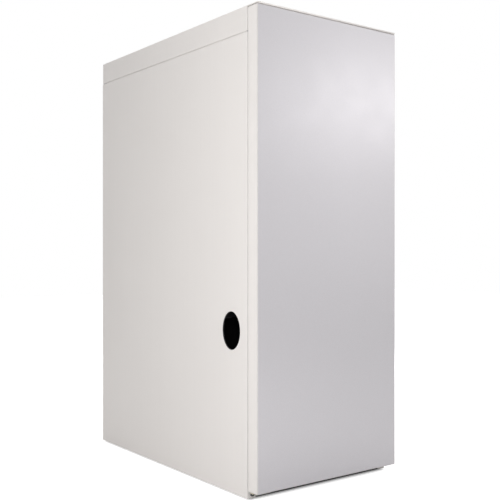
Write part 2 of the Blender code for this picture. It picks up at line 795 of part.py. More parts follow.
def make_hinge_plates():
    """Plates that stand forward of the frame over and under the door; the lower one carries a fixed pin."""
    inner = -INNER_SIDE
    nose = HINGE_Y - PLATE_NOSE
    upper = box(
        "upper_hinge_plate",
        (inner, inner + PLATE_LENGTH),
        (nose, FRAME_FRONT + PLATE_TAIL),
        (UPPER_PLATE_LOW, LID_UNDER - SEAT),
        ZINC,
    )
    cut(upper, on_hinge("plate_hole", UPPER_PLATE_LOW - OVERRUN, HEIGHT + OVERRUN, PIN_RADIUS + SEAT))
    top = DOOR_LOW - SEAT
    lower = box(
        "lower_hinge_plate",
        (inner, inner + LOWER_PLATE_LENGTH),
        (nose, CASE_FRONT - SEAT),
        (top - LOWER_PLATE, top),
        ZINC,
    )
    flange = box(
        "hinge_plate_flange",
        (-SIDE + PANEL_FLANGE + SEAT, inner + LOWER_PLATE_LENGTH - WELD),
        (CASE_FRONT - SEAT - WELD, FRAME_FRONT - SEAT),
        (top - LOWER_PLATE_FLANGE, top - WELD),
    )
    pin = on_hinge("hinge_pin", top - LOWER_PLATE / 2, DOOR_LOW + PIN_REACH, PIN_RADIUS)
    join(lower, flange, pin)


def make_instruments():
    """The panel behind the door with its thermometer, igniter and limit thermostat."""
    outline = [
        (FRAME_FRONT + PANEL_RETURN, PANEL_HIGH),
        (FRAME_FRONT, PANEL_HIGH),
        (FRAME_FRONT, PANEL_LOW),
        (FRAME_FRONT + PANEL_RETURN, PANEL_LOW),
    ]
    panel = folded("instrument_panel", outline, "X", (-INNER_SIDE, INNER_SIDE), PANEL_SHEET, PANEL_GREY)
    holes = (
        ("thermometer", DIAL_X, CASE_RADIUS),
        ("piezo", PIEZO_X, PIEZO_RADIUS),
        ("limit", LIMIT_X, LIMIT_NECK_RADIUS),
    )
    for name, x, radius in holes:
        start = (x, FRAME_FRONT - OVERRUN, DIAL_Z)
        stop = (x, FRAME_FRONT + PANEL_SHEET + OVERRUN, DIAL_Z)
        cut(panel, rod(f"{name}_hole", start, stop, radius + SEAT, sides=ROUND))
    make_thermometer()
    make_piezo()
    make_limit()


def make_thermometer():
    at = (DIAL_X, FRAME_FRONT, DIAL_Z)
    front = SEAT + BEZEL_DEPTH
    dial = front - DIAL_RECESS
    case = [
        (0, dial),
        (CASE_BORE, dial),
        (CASE_BORE, front),
        (BEZEL_RADIUS, front),
        (BEZEL_RADIUS, SEAT),
        (CASE_RADIUS, SEAT),
        (CASE_RADIUS, -CASE_DEPTH),
        (0, -CASE_DEPTH),
    ]
    turned("thermometer_case", case, at, TO_FRONT, BLACK_PLASTIC)
    glass_front = front - GLASS_RECESS
    glass_back = glass_front - GLASS_THICKNESS
    edge = CASE_BORE - SEAT
    glass = [(0, glass_front), (edge, glass_front), (edge, glass_back), (0, glass_back)]
    turned("thermometer_glass", glass, at, TO_FRONT, CLEAR_GLASS)
    blade_back = dial + NEEDLE_STAND
    half = NEEDLE_WIDTH / 2
    blade = [(-half, -NEEDLE_TAIL), (half, -NEEDLE_TAIL), (half, 0), (0, NEEDLE_LENGTH), (-half, 0)]
    needle = flat("thermometer_needle", blade, NEEDLE_THICKNESS, at, TO_FRONT, RED_PLASTIC)
    needle.data.transform(Matrix.Translation((0, 0, blade_back)))
    needle.data.transform(Matrix.Rotation(NEEDLE_REST, 4, "Z"))
    hub_top = blade_back + NEEDLE_THICKNESS + WELD
    hub = [(0, hub_top), (NEEDLE_HUB_RADIUS, hub_top), (NEEDLE_HUB_RADIUS, dial + SEAT), (0, dial + SEAT)]
    join(needle, turned("needle_hub", hub, at, TO_FRONT, steps=SMALL_ROUND))
    case_back = FRAME_FRONT + CASE_DEPTH + SEAT
    pocket_front = MAT_FRONT - SEAT - POCKET_HEAD - SEAT
    middle = (case_back + pocket_front) / 2
    corners = [
        (DIAL_X, case_back, DIAL_Z),
        (DIAL_X, middle, DIAL_Z),
        (DIAL_X, middle, POCKET_Z),
        (POCKET_X, middle, POCKET_Z),
        (POCKET_X, pocket_front, POCKET_Z),
    ]
    bend = (pocket_front - case_back) * CAPILLARY_BEND_SHARE
    pipe("thermometer_capillary", bent_path(corners, bend), CAPILLARY_RADIUS, COPPER)


def make_button(name, at, radius, back, front, material):
    """A round push button from its back to its rounded front, on its own axis."""
    rounding = [(radius - BUTTON_EDGE, front), (radius, front - BUTTON_EDGE)]
    profile = [(0, front), *rounding, (radius, back), (0, back)]
    turned(name, profile, at, TO_FRONT, material, steps=SMALL_ROUND)


def make_piezo():
    at = (PIEZO_X, FRAME_FRONT, DIAL_Z)
    front = SEAT + BEZEL_DEPTH
    floor = front - PIEZO_BORE_DEPTH
    body = [
        (0, floor),
        (PIEZO_BORE, floor),
        (PIEZO_BORE, front),
        (PIEZO_BEZEL_RADIUS, front),
        (PIEZO_BEZEL_RADIUS, SEAT),
        (PIEZO_RADIUS, SEAT),
        (PIEZO_RADIUS, -PIEZO_DEPTH),
        (0, -PIEZO_DEPTH),
    ]
    turned("piezo_igniter", body, at, TO_FRONT, BLACK_PLASTIC, steps=SMALL_ROUND)
    back = floor + PIEZO_TRAVEL + SEAT
    make_button("piezo_button", at, PIEZO_BORE - SEAT, back, front + BUTTON_PROUD, RED_PLASTIC)


def make_limit():
    """The limit thermostat: a box behind the panel, held by a nut in front, with its reset button."""
    at = (LIMIT_X, FRAME_FRONT, DIAL_Z)
    half = LIMIT_BODY / 2
    behind = FRAME_FRONT + PANEL_SHEET + SEAT
    body = box(
        "limit_thermostat",
        (LIMIT_X - half, LIMIT_X + half),
        (behind, behind + LIMIT_DEPTH),
        (DIAL_Z - half, DIAL_Z + half),
        BLACK_PLASTIC,
    )
    front = FRAME_FRONT - SEAT - LIMIT_NUT

    def on_axis(name, start, end, radius, sides=SMALL_ROUND):
        return rod(name, (LIMIT_X, start, DIAL_Z), (LIMIT_X, end, DIAL_Z), radius, sides=sides)

    neck = on_axis("limit_neck", front + LIMIT_NUT / 2, behind + LIMIT_DEPTH / 2, LIMIT_NECK_RADIUS)
    nut = on_axis("limit_nut", front, FRAME_FRONT - SEAT, LIMIT_NUT_RADIUS, HEX)
    join(body, neck, nut)
    cut(body, on_axis("reset_bore", front - OVERRUN, FRAME_FRONT + RESET_DEPTH, RESET_RADIUS + SEAT))
    button_back = RESET_TRAVEL + SEAT - RESET_DEPTH
    button_front = SEAT + LIMIT_NUT + RESET_PROUD
    make_button("reset_button", at, RESET_RADIUS, button_back, button_front, RED_PLASTIC)


def make_boiler():
    """The stand, the water jacket round the firebox, its fire tubes and the mat that keeps the heat in."""
    make_stand()
    shell = tray(
        "boiler_shell",
        (-BODY_HALF, BODY_HALF),
        (BODY_FRONT, BODY_REAR),
        (BODY_LOW, BODY_HIGH),
        [(0, 0, -1)],
        WALL,
        BOILER_PAINT,
    )
    firebox_half = BODY_HALF - FIREBOX_INSET
    firebox = tray(
        "firebox",
        (-firebox_half, firebox_half),
        (BODY_FRONT + FIREBOX_INSET, BODY_REAR - FIREBOX_INSET),
        (BODY_LOW + WELD, FIREBOX_HIGH),
        [(0, 0, -1)],
        WALL,
        BOILER_PAINT,
    )
    rim = WALL + SEAT
    join(
        firebox,
        box(
            "firebox_rim",
            (-BODY_HALF + rim, BODY_HALF - rim),
            (BODY_FRONT + rim, BODY_REAR - rim),
            (BODY_LOW, BODY_LOW + WALL),
        ),
    )
    throat = FIREBOX_INSET + WALL + WELD
    opening = box(
        "firebox_throat",
        (-BODY_HALF + throat, BODY_HALF - throat),
        (BODY_FRONT + throat, BODY_REAR - throat),
        (BODY_LOW - OVERRUN, BODY_LOW + WALL + OVERRUN),
    )
    cut(firebox, opening)
    for number in range(TUBE_COUNT):
        y = BODY_MIDDLE + (number - (TUBE_COUNT - 1) / 2) * TUBE_PITCH
        low = FIREBOX_HIGH - WALL
        for obj, level in ((firebox, FIREBOX_HIGH), (shell, BODY_HIGH)):
            start = (0, y, level - WALL - OVERRUN)
            stop = (0, y, level + OVERRUN)
            hole = rod(f"{obj.name}_tube_hole_{number + 1}", start, stop, TUBE_RADIUS + SEAT, sides=ROUND)
            cut(obj, hole)
        inner = TUBE_RADIUS - TUBE_WALL
        rise = BODY_HIGH - low
        ring(f"fire_tube_{number + 1}", TUBE_RADIUS, inner, 0, rise, (0, y, low), UP, BOILER_PAINT)
        make_turbulator(f"turbulator_{number + 1}", y)
    for name, x, z, radius in rear_connections()[1:]:
        start = (x, BODY_REAR - WALL - OVERRUN, z)
        stop = (x, BODY_REAR + OVERRUN, z)
        cut(shell, rod(f"shell_{name}_hole", start, stop, radius + SEAT, sides=ROUND))
    make_pocket(shell)
    make_mat()


def make_stand():
    """The sheet stand on the rails that holds the burners and carries the boiler on its top edge."""
    half = BODY_HALF - STAND_SHEET
    low = RAIL_TOP + SEAT
    outline = [(half, BODY_FRONT), (half, BODY_REAR), (-half, BODY_REAR), (-half, BODY_FRONT)]
    stand = folded("boiler_stand", outline, "Z", (low + WELD, STAND_HIGH), STAND_SHEET, GALVANISED)
    for side in (-1, 1):
        inner = side * (half - STAND_SHEET / 2)
        outer = side * (half + STAND_FLANGE)
        flange = box(
            "stand_flange",
            (min(inner, outer), max(inner, outer)),
            (BODY_FRONT + WELD, BODY_REAR - WELD),
            (low, low + STAND_SHEET),
        )
        join(stand, flange)


def make_turbulator(name, y):
    """A twisted strip that hangs in a fire tube from a bar across the tube's top."""
    top = BODY_HIGH + SEAT + WELD
    low = FIREBOX_HIGH + STRIP_CLEAR
    half = STRIP_WIDTH / 2
    places = []
    for step in range(STRIP_STEPS + 1):
        share = step / STRIP_STEPS
        angle = share * STRIP_TURNS * 2 * math.pi
        z = top + (low - top) * share
        x = half * math.cos(angle)
        reach = half * math.sin(angle)
        places += [(-x, -reach, z), (x, reach, z)]
    faces = [(2 * i, 2 * i + 1, 2 * i + 3, 2 * i + 2) for i in range(STRIP_STEPS)]
    mesh = bpy.data.meshes.new(name)
    mesh.from_pydata(places, [], faces)
    strip = add_object(name, mesh, STEEL, (0, y, 0))
    thicken(strip, STRIP_THICKNESS)
    strip.modifiers["Sheet"].offset = 0
    reach = TUBE_RADIUS + HANGER_REST
    bar = box(
        f"{name}_bar",
        (-reach, reach),
        (y - HANGER_WIDTH / 2, y + HANGER_WIDTH / 2),
        (BODY_HIGH + SEAT, BODY_HIGH + SEAT + HANGER_HEIGHT),
    )
    join(strip, bar)


def make_pocket(shell):
    """The sensor pocket through the front of the jacket: a closed tube with a head in front of the mat."""
    head_back = (POCKET_X, MAT_FRONT - SEAT, POCKET_Z)
    head_front = (POCKET_X, MAT_FRONT - SEAT - POCKET_HEAD, POCKET_Z)
    stem_front = (POCKET_X, MAT_FRONT - SEAT - POCKET_HEAD / 2, POCKET_Z)
    stem_back = (POCKET_X, BODY_FRONT + POCKET_DEPTH, POCKET_Z)
    stem = rod("pocket_stem", stem_front, stem_back, POCKET_RADIUS)
    join(shell, stem, rod("pocket_head", head_front, head_back, POCKET_HEAD_RADIUS, sides=HEX))


def make_mat():
    """The insulation mat, one closed band round the jacket with holes where pipes and the pocket pass."""
    mat = box(
        "insulation_mat",
        (-BODY_HALF - SEAT - MAT, BODY_HALF + SEAT + MAT),
        (MAT_FRONT, BODY_REAR + SEAT + MAT),
        (BODY_LOW + MAT_END_GAP, BODY_HIGH - MAT_END_GAP),
        FOIL_MAT,
    )
    core = box(
        "mat_core",
        (-BODY_HALF - SEAT, BODY_HALF + SEAT),
        (BODY_FRONT - SEAT, BODY_REAR + SEAT),
        (BODY_LOW - OVERRUN, BODY_HIGH + OVERRUN),
    )
    cut(mat, core)
    for name, x, z, radius in rear_connections()[1:]:
        start = (x, BODY_REAR - OVERRUN / 2, z)
        stop = (x, BODY_REAR + MAT + OVERRUN, z)
        cut(mat, rod(f"mat_{name}_hole", start, stop, radius + MAT_HOLE_MARGIN, sides=ROUND))
    start = (POCKET_X, MAT_FRONT - OVERRUN, POCKET_Z)
    stop = (POCKET_X, BODY_FRONT + OVERRUN / 2, POCKET_Z)
    cut(mat, rod("mat_pocket_hole", start, stop, POCKET_RADIUS + MAT_HOLE_MARGIN))


def make_flue():
    """The draught hood over the fire tubes, its collar through the rear panel and its cleaning cover."""
    hood_front = BODY_FRONT + HOOD_FRONT
    hood_rear = BODY_REAR - HOOD_REAR
    hood_low = BODY_HIGH + SEAT
    hood = tray(
        "flue_hood",
        (-HOOD_HALF, HOOD_HALF),
        (hood_front, hood_rear),
        (hood_low, HOOD_HIGH),
        [(0, 0, -1)],
        FLUE_WALL,
        GALVANISED,
    )
    outlet = rod(
        "flue_outlet_hole",
        (0, hood_rear - FLUE_WALL - OVERRUN, FLUE_UP),
        (0, hood_rear + OVERRUN, FLUE_UP),
        FLUE_RADIUS + SEAT,
        sides=FINE_ROUND,
    )
    relief = box(
        "relief_opening",
        (-RELIEF_HALF, RELIEF_HALF),
        (hood_front - OVERRUN, hood_front + FLUE_WALL + OVERRUN),
        (hood_low + RELIEF_LOW, hood_low + RELIEF_LOW + RELIEF_HEIGHT),
    )
    middle = (hood_front + hood_rear) / 2
    reach = COVER_LENGTH / 2
    hatch = box(
        "cleaning_hatch",
        (-COVER_HALF + COVER_MARGIN, COVER_HALF - COVER_MARGIN),
        (middle - reach + COVER_MARGIN, middle + reach - COVER_MARGIN),
        (HOOD_HIGH - FLUE_WALL - OVERRUN, HOOD_HIGH + OVERRUN),
    )
    cut(hood, outlet, relief, hatch)
    cover_low = HOOD_HIGH + SEAT
    cover = box(
        "cleaning_cover",
        (-COVER_HALF, COVER_HALF),
        (middle - reach, middle + reach),
        (cover_low, cover_low + FLUE_WALL),
        GALVANISED,
    )
    grip_top = COVER_GRIP_HEIGHT
    head_low = grip_top - COVER_GRIP_HEAD
    grip = [
        (0, grip_top),
        (COVER_GRIP_HEAD_RADIUS, grip_top),
        (COVER_GRIP_HEAD_RADIUS, head_low),
        (COVER_GRIP_RADIUS, head_low),
        (COVER_GRIP_RADIUS, FLUE_WALL / 2),
        (0, FLUE_WALL / 2),
    ]
    join(cover, turned("cover_grip", grip, (0, middle, cover_low), UP, steps=SMALL_ROUND))
    length = TAIL - hood_rear
    collar = [
        (FLUE_RADIUS, length),
        (FLUE_RADIUS, SEAT + FLUE_WALL),
        (FLUE_RADIUS + COLLAR_FLANGE, SEAT + FLUE_WALL),
        (FLUE_RADIUS + COLLAR_FLANGE, SEAT),
        (FLUE_RADIUS, SEAT),
        (FLUE_RADIUS, -COLLAR_TUCK),
        (FLUE_RADIUS - FLUE_WALL, -COLLAR_TUCK),
        (FLUE_RADIUS - FLUE_WALL, length),
    ]
    at = (0, hood_rear, FLUE_UP)
    turned("flue_collar", collar, at, TO_BACK, GALVANISED, closed=True, steps=FINE_ROUND)


def make_water():
    """Flow and return stubs and the drain cock, all through the rear panel."""
    length = TAIL - BODY_REAR
    start = -WALL - WATER_TUCK
    for name, z in (("flow_pipe", FLOW_UP), ("return_pipe", RETURN_UP)):
        ring(name, WATER_RADIUS, WATER_BORE, start, length, (WATER_X, BODY_REAR, z), TO_BACK, BOILER_PAINT)
    middle = length - COCK_FROM_END - COCK_LENGTH / 2
    body = [
        (DRAIN_RADIUS, length),
        (DRAIN_RADIUS, middle + COCK_LENGTH / 2),
        (COCK_RADIUS, middle + COCK_LENGTH / 2),
        (COCK_RADIUS, middle - COCK_LENGTH / 2),
        (DRAIN_RADIUS, middle - COCK_LENGTH / 2),
        (DRAIN_RADIUS, start),
        (DRAIN_BORE, start),
        (DRAIN_BORE, length),
    ]
    at = (-WATER_X, BODY_REAR, DRAIN_UP)
    cock = turned("drain_cock", body, at, TO_BACK, BRASS, closed=True, steps=SMALL_ROUND)
    lever_low = BOSS_HEIGHT + SEAT
    lever_high = lever_low + LEVER_THICKNESS
    nut_low = lever_high + SEAT
    stem = [
        (0, nut_low + STEM_NUT),
        (STEM_NUT_RADIUS, nut_low + STEM_NUT),
        (STEM_NUT_RADIUS, nut_low),
        (STEM_RADIUS, nut_low),
        (STEM_RADIUS, BOSS_HEIGHT),
        (BOSS_RADIUS, BOSS_HEIGHT),
        (BOSS_RADIUS, COCK_RADIUS / 2),
        (0, COCK_RADIUS / 2),
    ]
    pivot = (-WATER_X, BODY_REAR + middle, DRAIN_UP)
    join(cock, turned("cock_stem", stem, pivot, UP, steps=SMALL_ROUND))
    half = LEVER_WIDTH / 2
    outline = arc((0, 0), half, math.pi / 2, 3 * math.pi / 2, LEVER_STEPS)
    outline += arc((LEVER_LENGTH - half, 0), half, -math.pi / 2, math.pi / 2, LEVER_STEPS)
    seat = (-WATER_X, BODY_REAR + middle, DRAIN_UP + lever_low)
    lever = flat("drain_lever", outline, LEVER_THICKNESS, seat, UP, RED_PLASTIC)
    hole_low = (-WATER_X, BODY_REAR + middle, DRAIN_UP + lever_low - OVERRUN)
    hole_high = (-WATER_X, BODY_REAR + middle, DRAIN_UP + lever_high + OVERRUN)
    cut(lever, rod("lever_hole", hole_low, hole_high, STEM_RADIUS + SEAT))


def make_gas_train():
    """The gas valve behind the oval hole, with its pipes down to the burners."""
    make_valve()
    spigot_end = -VALVE_HALF - VALVE_SPIGOT - SEAT
    length = spigot_end + SIDE - UNION_FROM_SIDE
    inlet = [
        (UNION_RADIUS, length),
        (UNION_RADIUS, length - UNION_LENGTH),
        (INLET_RADIUS, length - UNION_LENGTH),
        (INLET_RADIUS, 0),
        (INLET_BORE, 0),
        (INLET_BORE, length),
    ]
    at = (spigot_end, OVAL_Y, OVAL_UP)
    turned("gas_inlet_pipe", inlet, at, TO_LEFT, STEEL, closed=True, steps=SMALL_ROUND)
    make_manifold()
    make_burners()
    make_pilot()


def make_valve():
    valve = box(
        "gas_valve_body",
        (-VALVE_HALF, VALVE_HALF),
        (VALVE_FRONT, VALVE_REAR),
        (VALVE_LOW, VALVE_LOW + VALVE_HEIGHT),
        VALVE_GREY,
    )
    edge = valve.modifiers.new("Edges", "BEVEL")
    edge.width = VALVE_EDGE
    edge.segments = 2
    inside = (0, OVAL_Y, OVAL_UP)
    left = rod("inlet_spigot", inside, (-VALVE_HALF - VALVE_SPIGOT, OVAL_Y, OVAL_UP), VALVE_SPIGOT_RADIUS)
    down = rod("outlet_spigot", inside, (0, OVAL_Y, VALVE_LOW - VALVE_SPIGOT), VALVE_SPIGOT_RADIUS)
    spindle = rod(
        "knob_spindle",
        (VALVE_KNOB_X, OVAL_Y, OVAL_UP),
        (VALVE_KNOB_X, VALVE_FRONT - KNOB_SPINDLE, OVAL_UP),
        KNOB_SPINDLE_RADIUS,
    )
    join(valve, left, down, spindle)
    bore = rod(
        "pilot_bore",
        (PILOT_BUTTON_X, VALVE_FRONT - OVERRUN, OVAL_UP),
        (PILOT_BUTTON_X, VALVE_FRONT + PILOT_BUTTON_DEPTH, OVAL_UP),
        PILOT_BUTTON_RADIUS + SEAT,
    )
    cut(valve, bore)
    back = -PILOT_BUTTON_DEPTH + PILOT_BUTTON_TRAVEL + SEAT
    at = (PILOT_BUTTON_X, VALVE_FRONT, OVAL_UP)
    make_button("pilot_button", at, PILOT_BUTTON_RADIUS, back, PILOT_BUTTON_PROUD, RED_PLASTIC)
    top = SEAT + KNOB_LENGTH
    socket = KNOB_SPINDLE + SEAT
    knob = [
        (0, top),
        (KNOB_RADIUS - KNOB_EDGE, top),
        (KNOB_RADIUS, top - KNOB_EDGE),
        (KNOB_RADIUS, SEAT),
        (KNOB_SPINDLE_RADIUS + SEAT, SEAT),
        (KNOB_SPINDLE_RADIUS + SEAT, socket),
        (0, socket),
    ]
    on_valve = (VALVE_KNOB_X, VALVE_FRONT, OVAL_UP)
    handle = turned("gas_valve_knob", knob, on_valve, TO_FRONT, BLACK_PLASTIC)
    grip = box(
        "knob_grip",
        (VALVE_KNOB_X - KNOB_GRIP_HALF, VALVE_KNOB_X + KNOB_GRIP_HALF),
        (VALVE_FRONT - top - KNOB_GRIP, VALVE_FRONT - top + WELD),
        (OVAL_UP - KNOB_RADIUS + KNOB_GRIP_HALF, OVAL_UP + KNOB_RADIUS - KNOB_GRIP_HALF),
    )
    join(handle, grip)


def make_manifold():
    """The manifold along the burners' mouths, its injectors and the pipe down to it from the valve."""
    y = PLATE_FACE - MANIFOLD_FROM_PLATE
    leg_x = burner_places()[-1] + BURNER_RADIUS + MANIFOLD_LEG_GAP
    half = leg_x + MANIFOLD_OVERHANG
    bar = rod("burner_manifold", (-half, y, BURNER_UP), (half, y, BURNER_UP), MANIFOLD_RADIUS, STEEL)
    boss = rod("manifold_boss", (0, y, BURNER_UP), (0, y - MANIFOLD_BOSS, BURNER_UP), MANIFOLD_BOSS_RADIUS)
    join(bar, boss)
    for x in (-leg_x, leg_x):
        start = (x, y, BURNER_UP)
        stop = (x, PLATE_FACE - SEAT, BURNER_UP)
        join(bar, rod("manifold_leg", start, stop, MANIFOLD_LEG_RADIUS))
    for x in burner_places():
        tip = (x, y + INJECTOR_LENGTH, BURNER_UP)
        join(bar, rod("injector", (x, y, BURNER_UP), tip, INJECTOR_RADIUS, sides=HEX))
    corners = [
        (0, OVAL_Y, VALVE_LOW - VALVE_SPIGOT - SEAT),
        (0, OVAL_Y, BURNER_UP),
        (0, y - MANIFOLD_BOSS - SEAT, BURNER_UP),
    ]
    pipe("gas_outlet_pipe", bent_path(corners, OUTLET_BEND), OUTLET_RADIUS, STEEL)


def burner_places():
    return [(number - (BURNER_COUNT - 1) / 2) * BURNER_PITCH for number in range(BURNER_COUNT)]


def make_burners():
    """Burner tubes from the front plate to the stand's rear wall, with flame slots along their tops."""
    mouth = PLATE_FACE - BURNER_MOUTH
    length = BODY_REAR - STAND_SHEET - SEAT - mouth
    profile = [
        (0, BURNER_END_WALL - length),
        (BURNER_BORE, BURNER_END_WALL - length),
        (BURNER_BORE, 0),
        (BURNER_RADIUS, 0),
        (BURNER_RADIUS, -length),
        (0, -length),
    ]
    for number, x in enumerate(burner_places()):
        tube = turned(
            f"burner_tube_{number + 1}", profile, (x, mouth, BURNER_UP), TO_FRONT, STEEL, steps=BURNER_ROUND
        )
        cut(tube, slots(f"burner_slots_{number + 1}", x, mouth, length))
    make_burner_plate()


def slots(name, x, mouth, length):
    """One cutter that holds as many separate slots as a tube of this length takes."""
    count = 1 + int((length - SLOT_START - SLOT_END) / SLOT_PITCH)
    shape = bmesh.new()
    for number in range(count):
        made = bmesh.ops.create_cube(shape, size=1)["verts"]
        bmesh.ops.scale(shape, vec=(SLOT_LENGTH, SLOT_WIDTH, BURNER_RADIUS), verts=made)
        bmesh.ops.translate(shape, vec=(0, SLOT_START + number * SLOT_PITCH, 0), verts=made)
    return add_object(name, mesh_of(shape, name), None, (x, mouth, BURNER_UP + BURNER_RADIUS))


def make_burner_plate():
    """The plate that closes the stand's front and carries burners, pilot, igniter and sight glass."""
    half = BODY_HALF - STAND_SHEET
    back = PLATE_FACE + STAND_SHEET
    plate = box(
        "burner_plate",
        (-half, half),
        (PLATE_FACE, back),
        (BURNER_PLATE_LOW, STAND_HIGH - BURNER_PLATE_GAP),
        GALVANISED,
    )
    holes = [("burner", x, BURNER_UP, BURNER_RADIUS) for x in burner_places()]
    holes.append(("sight", SIGHT_X, PILOT_Z, SIGHT_RADIUS))
    holes.append(("probe", PILOT_X - PILOT_SPREAD, PILOT_Z, PROBE_RADIUS))
    holes.append(("pilot", PILOT_X, PILOT_Z, PILOT_BODY_RADIUS))
    holes.append(("electrode", PILOT_X + PILOT_SPREAD, PILOT_Z, ELECTRODE_RADIUS))
    for name, x, z, radius in holes:
        start = (x, PLATE_FACE - OVERRUN, z)
        stop = (x, back + OVERRUN, z)
        cut(plate, rod(f"{name}_plate_hole", start, stop, radius + SEAT, sides=BURNER_ROUND))
    pivot_z = PILOT_Z + SIGHT_PIVOT_UP
    cover_back = PLATE_FACE - SEAT
    cover_front = cover_back - SIGHT_COVER_SHEET
    head_back = cover_front - SEAT
    shank_front = (SIGHT_X, head_back - SIGHT_RIVET_HEAD / 2, pivot_z)
    shank_back = (SIGHT_X, PLATE_FACE + STAND_SHEET / 2, pivot_z)
    shank = rod("rivet_shank", shank_front, shank_back, SIGHT_RIVET_RADIUS)
    start = (SIGHT_X, head_back - SIGHT_RIVET_HEAD, pivot_z)
    stop = (SIGHT_X, head_back, pivot_z)
    join(plate, shank, rod("rivet_head", start, stop, SIGHT_RIVET_HEAD_RADIUS))
    rod(
        "sight_glass",
        (SIGHT_X, PLATE_FACE, PILOT_Z),
        (SIGHT_X, PLATE_FACE + SIGHT_GLASS, PILOT_Z),
        SIGHT_RADIUS,
        CLEAR_GLASS,
        sides=BURNER_ROUND,
    )
    outline = arc((0, 0), SIGHT_TAB_HALF, 0, math.pi, LEVER_STEPS)
    spread = math.asin(SIGHT_TAB_HALF / SIGHT_COVER_RADIUS)
    first = math.pi / 2 + spread
    last = first + 2 * (math.pi - spread)
    outline += arc((0, -SIGHT_PIVOT_UP), SIGHT_COVER_RADIUS, first, last, COVER_STEPS)
    at = (SIGHT_X, cover_back, pivot_z)
    cover = flat("sight_cover", outline, SIGHT_COVER_SHEET, at, TO_FRONT, STEEL)
    start = (SIGHT_X, cover_front - OVERRUN, pivot_z)
    stop = (SIGHT_X, cover_back + OVERRUN, pivot_z)
    cut(cover, rod("cover_hole", start, stop, SIGHT_RIVET_RADIUS + SEAT))


def make_pilot():
    """Pilot burner with its tube, thermocouple with its lead and igniter electrode with its lead."""
    front = PLATE_FACE - SEAT
    tip = PLATE_FACE + STAND_SHEET + PILOT_REACH
    fittings = (
        ("pilot_burner", PILOT_X, PILOT_BODY_RADIUS, PILOT_NUT_RADIUS, PILOT_TUBE_RADIUS, BRASS),
        ("thermocouple", PILOT_X - PILOT_SPREAD, PROBE_RADIUS, PROBE_NUT_RADIUS, LEAD_RADIUS, COPPER),
    )
    for name, x, radius, nut_radius, tube_radius, material in fittings:
        body = rod(name, (x, front - NUT_LENGTH / 2, PILOT_Z), (x, tip, PILOT_Z), radius, material)
        nut_front = front - NUT_LENGTH
        nut = rod(f"{name}_nut", (x, nut_front, PILOT_Z), (x, front, PILOT_Z), nut_radius, sides=HEX)
        corners = [(x, nut_front + WELD, PILOT_Z), (x, OVAL_Y, PILOT_Z), (x, OVAL_Y, VALVE_LOW - SEAT)]
        join(body, nut, pipe(f"{name}_tube", bent_path(corners, LEAD_BEND), tube_radius))
    x = PILOT_X + PILOT_SPREAD
    sleeve_front = PLATE_FACE - ELECTRODE_PROUD
    sleeve_back = PLATE_FACE + STAND_SHEET + ELECTRODE_PROUD
    electrode = rod(
        "ignition_electrode", (x, sleeve_front, PILOT_Z), (x, sleeve_back, PILOT_Z), ELECTRODE_RADIUS, CERAMIC
    )
    pin = rod("electrode_pin", (x, sleeve_back - WELD, PILOT_Z), (x, tip, PILOT_Z), ELECTRODE_PIN_RADIUS)
    run_y = VALVE_REAR + LEAD_BEHIND_VALVE
    igniter_back = FRAME_FRONT + PIEZO_DEPTH + SEAT
    corners = [
        (x, sleeve_front + WELD, PILOT_Z),
        (x, run_y, PILOT_Z),
        (x, run_y, DIAL_Z),
        (x, igniter_back, DIAL_Z),
    ]
    join(electrode, pin, pipe("ignition_lead", bent_path(corners, LEAD_BEND), LEAD_RADIUS))


make_base()
make_feet()
make_casing()
make_door()
make_instruments()
make_boiler()
make_flue()
make_water()
make_gas_train()
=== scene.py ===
"""The looks of a floor standing gas boiler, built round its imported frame.

Metres, +Z up, the door faces -Y. Finishes come first, then the pieces that only the looks need, and
then the studio.
"""

import json
import math
import random

import bmesh
import bpy
from mathutils import Matrix, Vector


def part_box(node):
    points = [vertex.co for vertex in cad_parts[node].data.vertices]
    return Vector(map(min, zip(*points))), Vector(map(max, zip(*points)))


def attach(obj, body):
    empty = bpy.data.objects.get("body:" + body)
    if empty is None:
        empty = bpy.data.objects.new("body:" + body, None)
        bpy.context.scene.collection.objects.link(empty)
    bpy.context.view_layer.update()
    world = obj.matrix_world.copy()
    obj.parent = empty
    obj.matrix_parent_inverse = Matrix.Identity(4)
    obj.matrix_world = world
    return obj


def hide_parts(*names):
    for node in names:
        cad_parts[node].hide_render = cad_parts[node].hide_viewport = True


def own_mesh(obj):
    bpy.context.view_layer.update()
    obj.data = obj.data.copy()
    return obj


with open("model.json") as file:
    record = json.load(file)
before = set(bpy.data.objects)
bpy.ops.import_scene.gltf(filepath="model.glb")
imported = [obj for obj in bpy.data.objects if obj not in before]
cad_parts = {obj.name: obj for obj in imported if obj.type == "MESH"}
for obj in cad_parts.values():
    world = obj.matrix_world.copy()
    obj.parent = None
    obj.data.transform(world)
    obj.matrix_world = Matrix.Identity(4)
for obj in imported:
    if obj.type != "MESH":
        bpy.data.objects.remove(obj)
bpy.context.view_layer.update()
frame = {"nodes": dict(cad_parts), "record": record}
NODES = frame["nodes"]

MM = 0.001

# Places read from the frame, and the few that its boxes don't show
PANEL_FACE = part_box("instrument_panel")[0].y
INNER_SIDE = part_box("instrument_panel")[1].x
FLANGE_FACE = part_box("left_side_panel")[0].y
PANEL_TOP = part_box("left_side_panel")[1].z
REAR_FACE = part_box("rear_panel")[1].y
STUB_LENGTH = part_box("flow_pipe")[1].y - REAR_FACE
PLATE_SHEET = 2 * MM
PLATE_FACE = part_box("boiler_stand")[0].y - PLATE_SHEET - 0.3 * MM
SLEEVE_PROUD = 9 * MM
PAD_TOP = 5.5 * MM

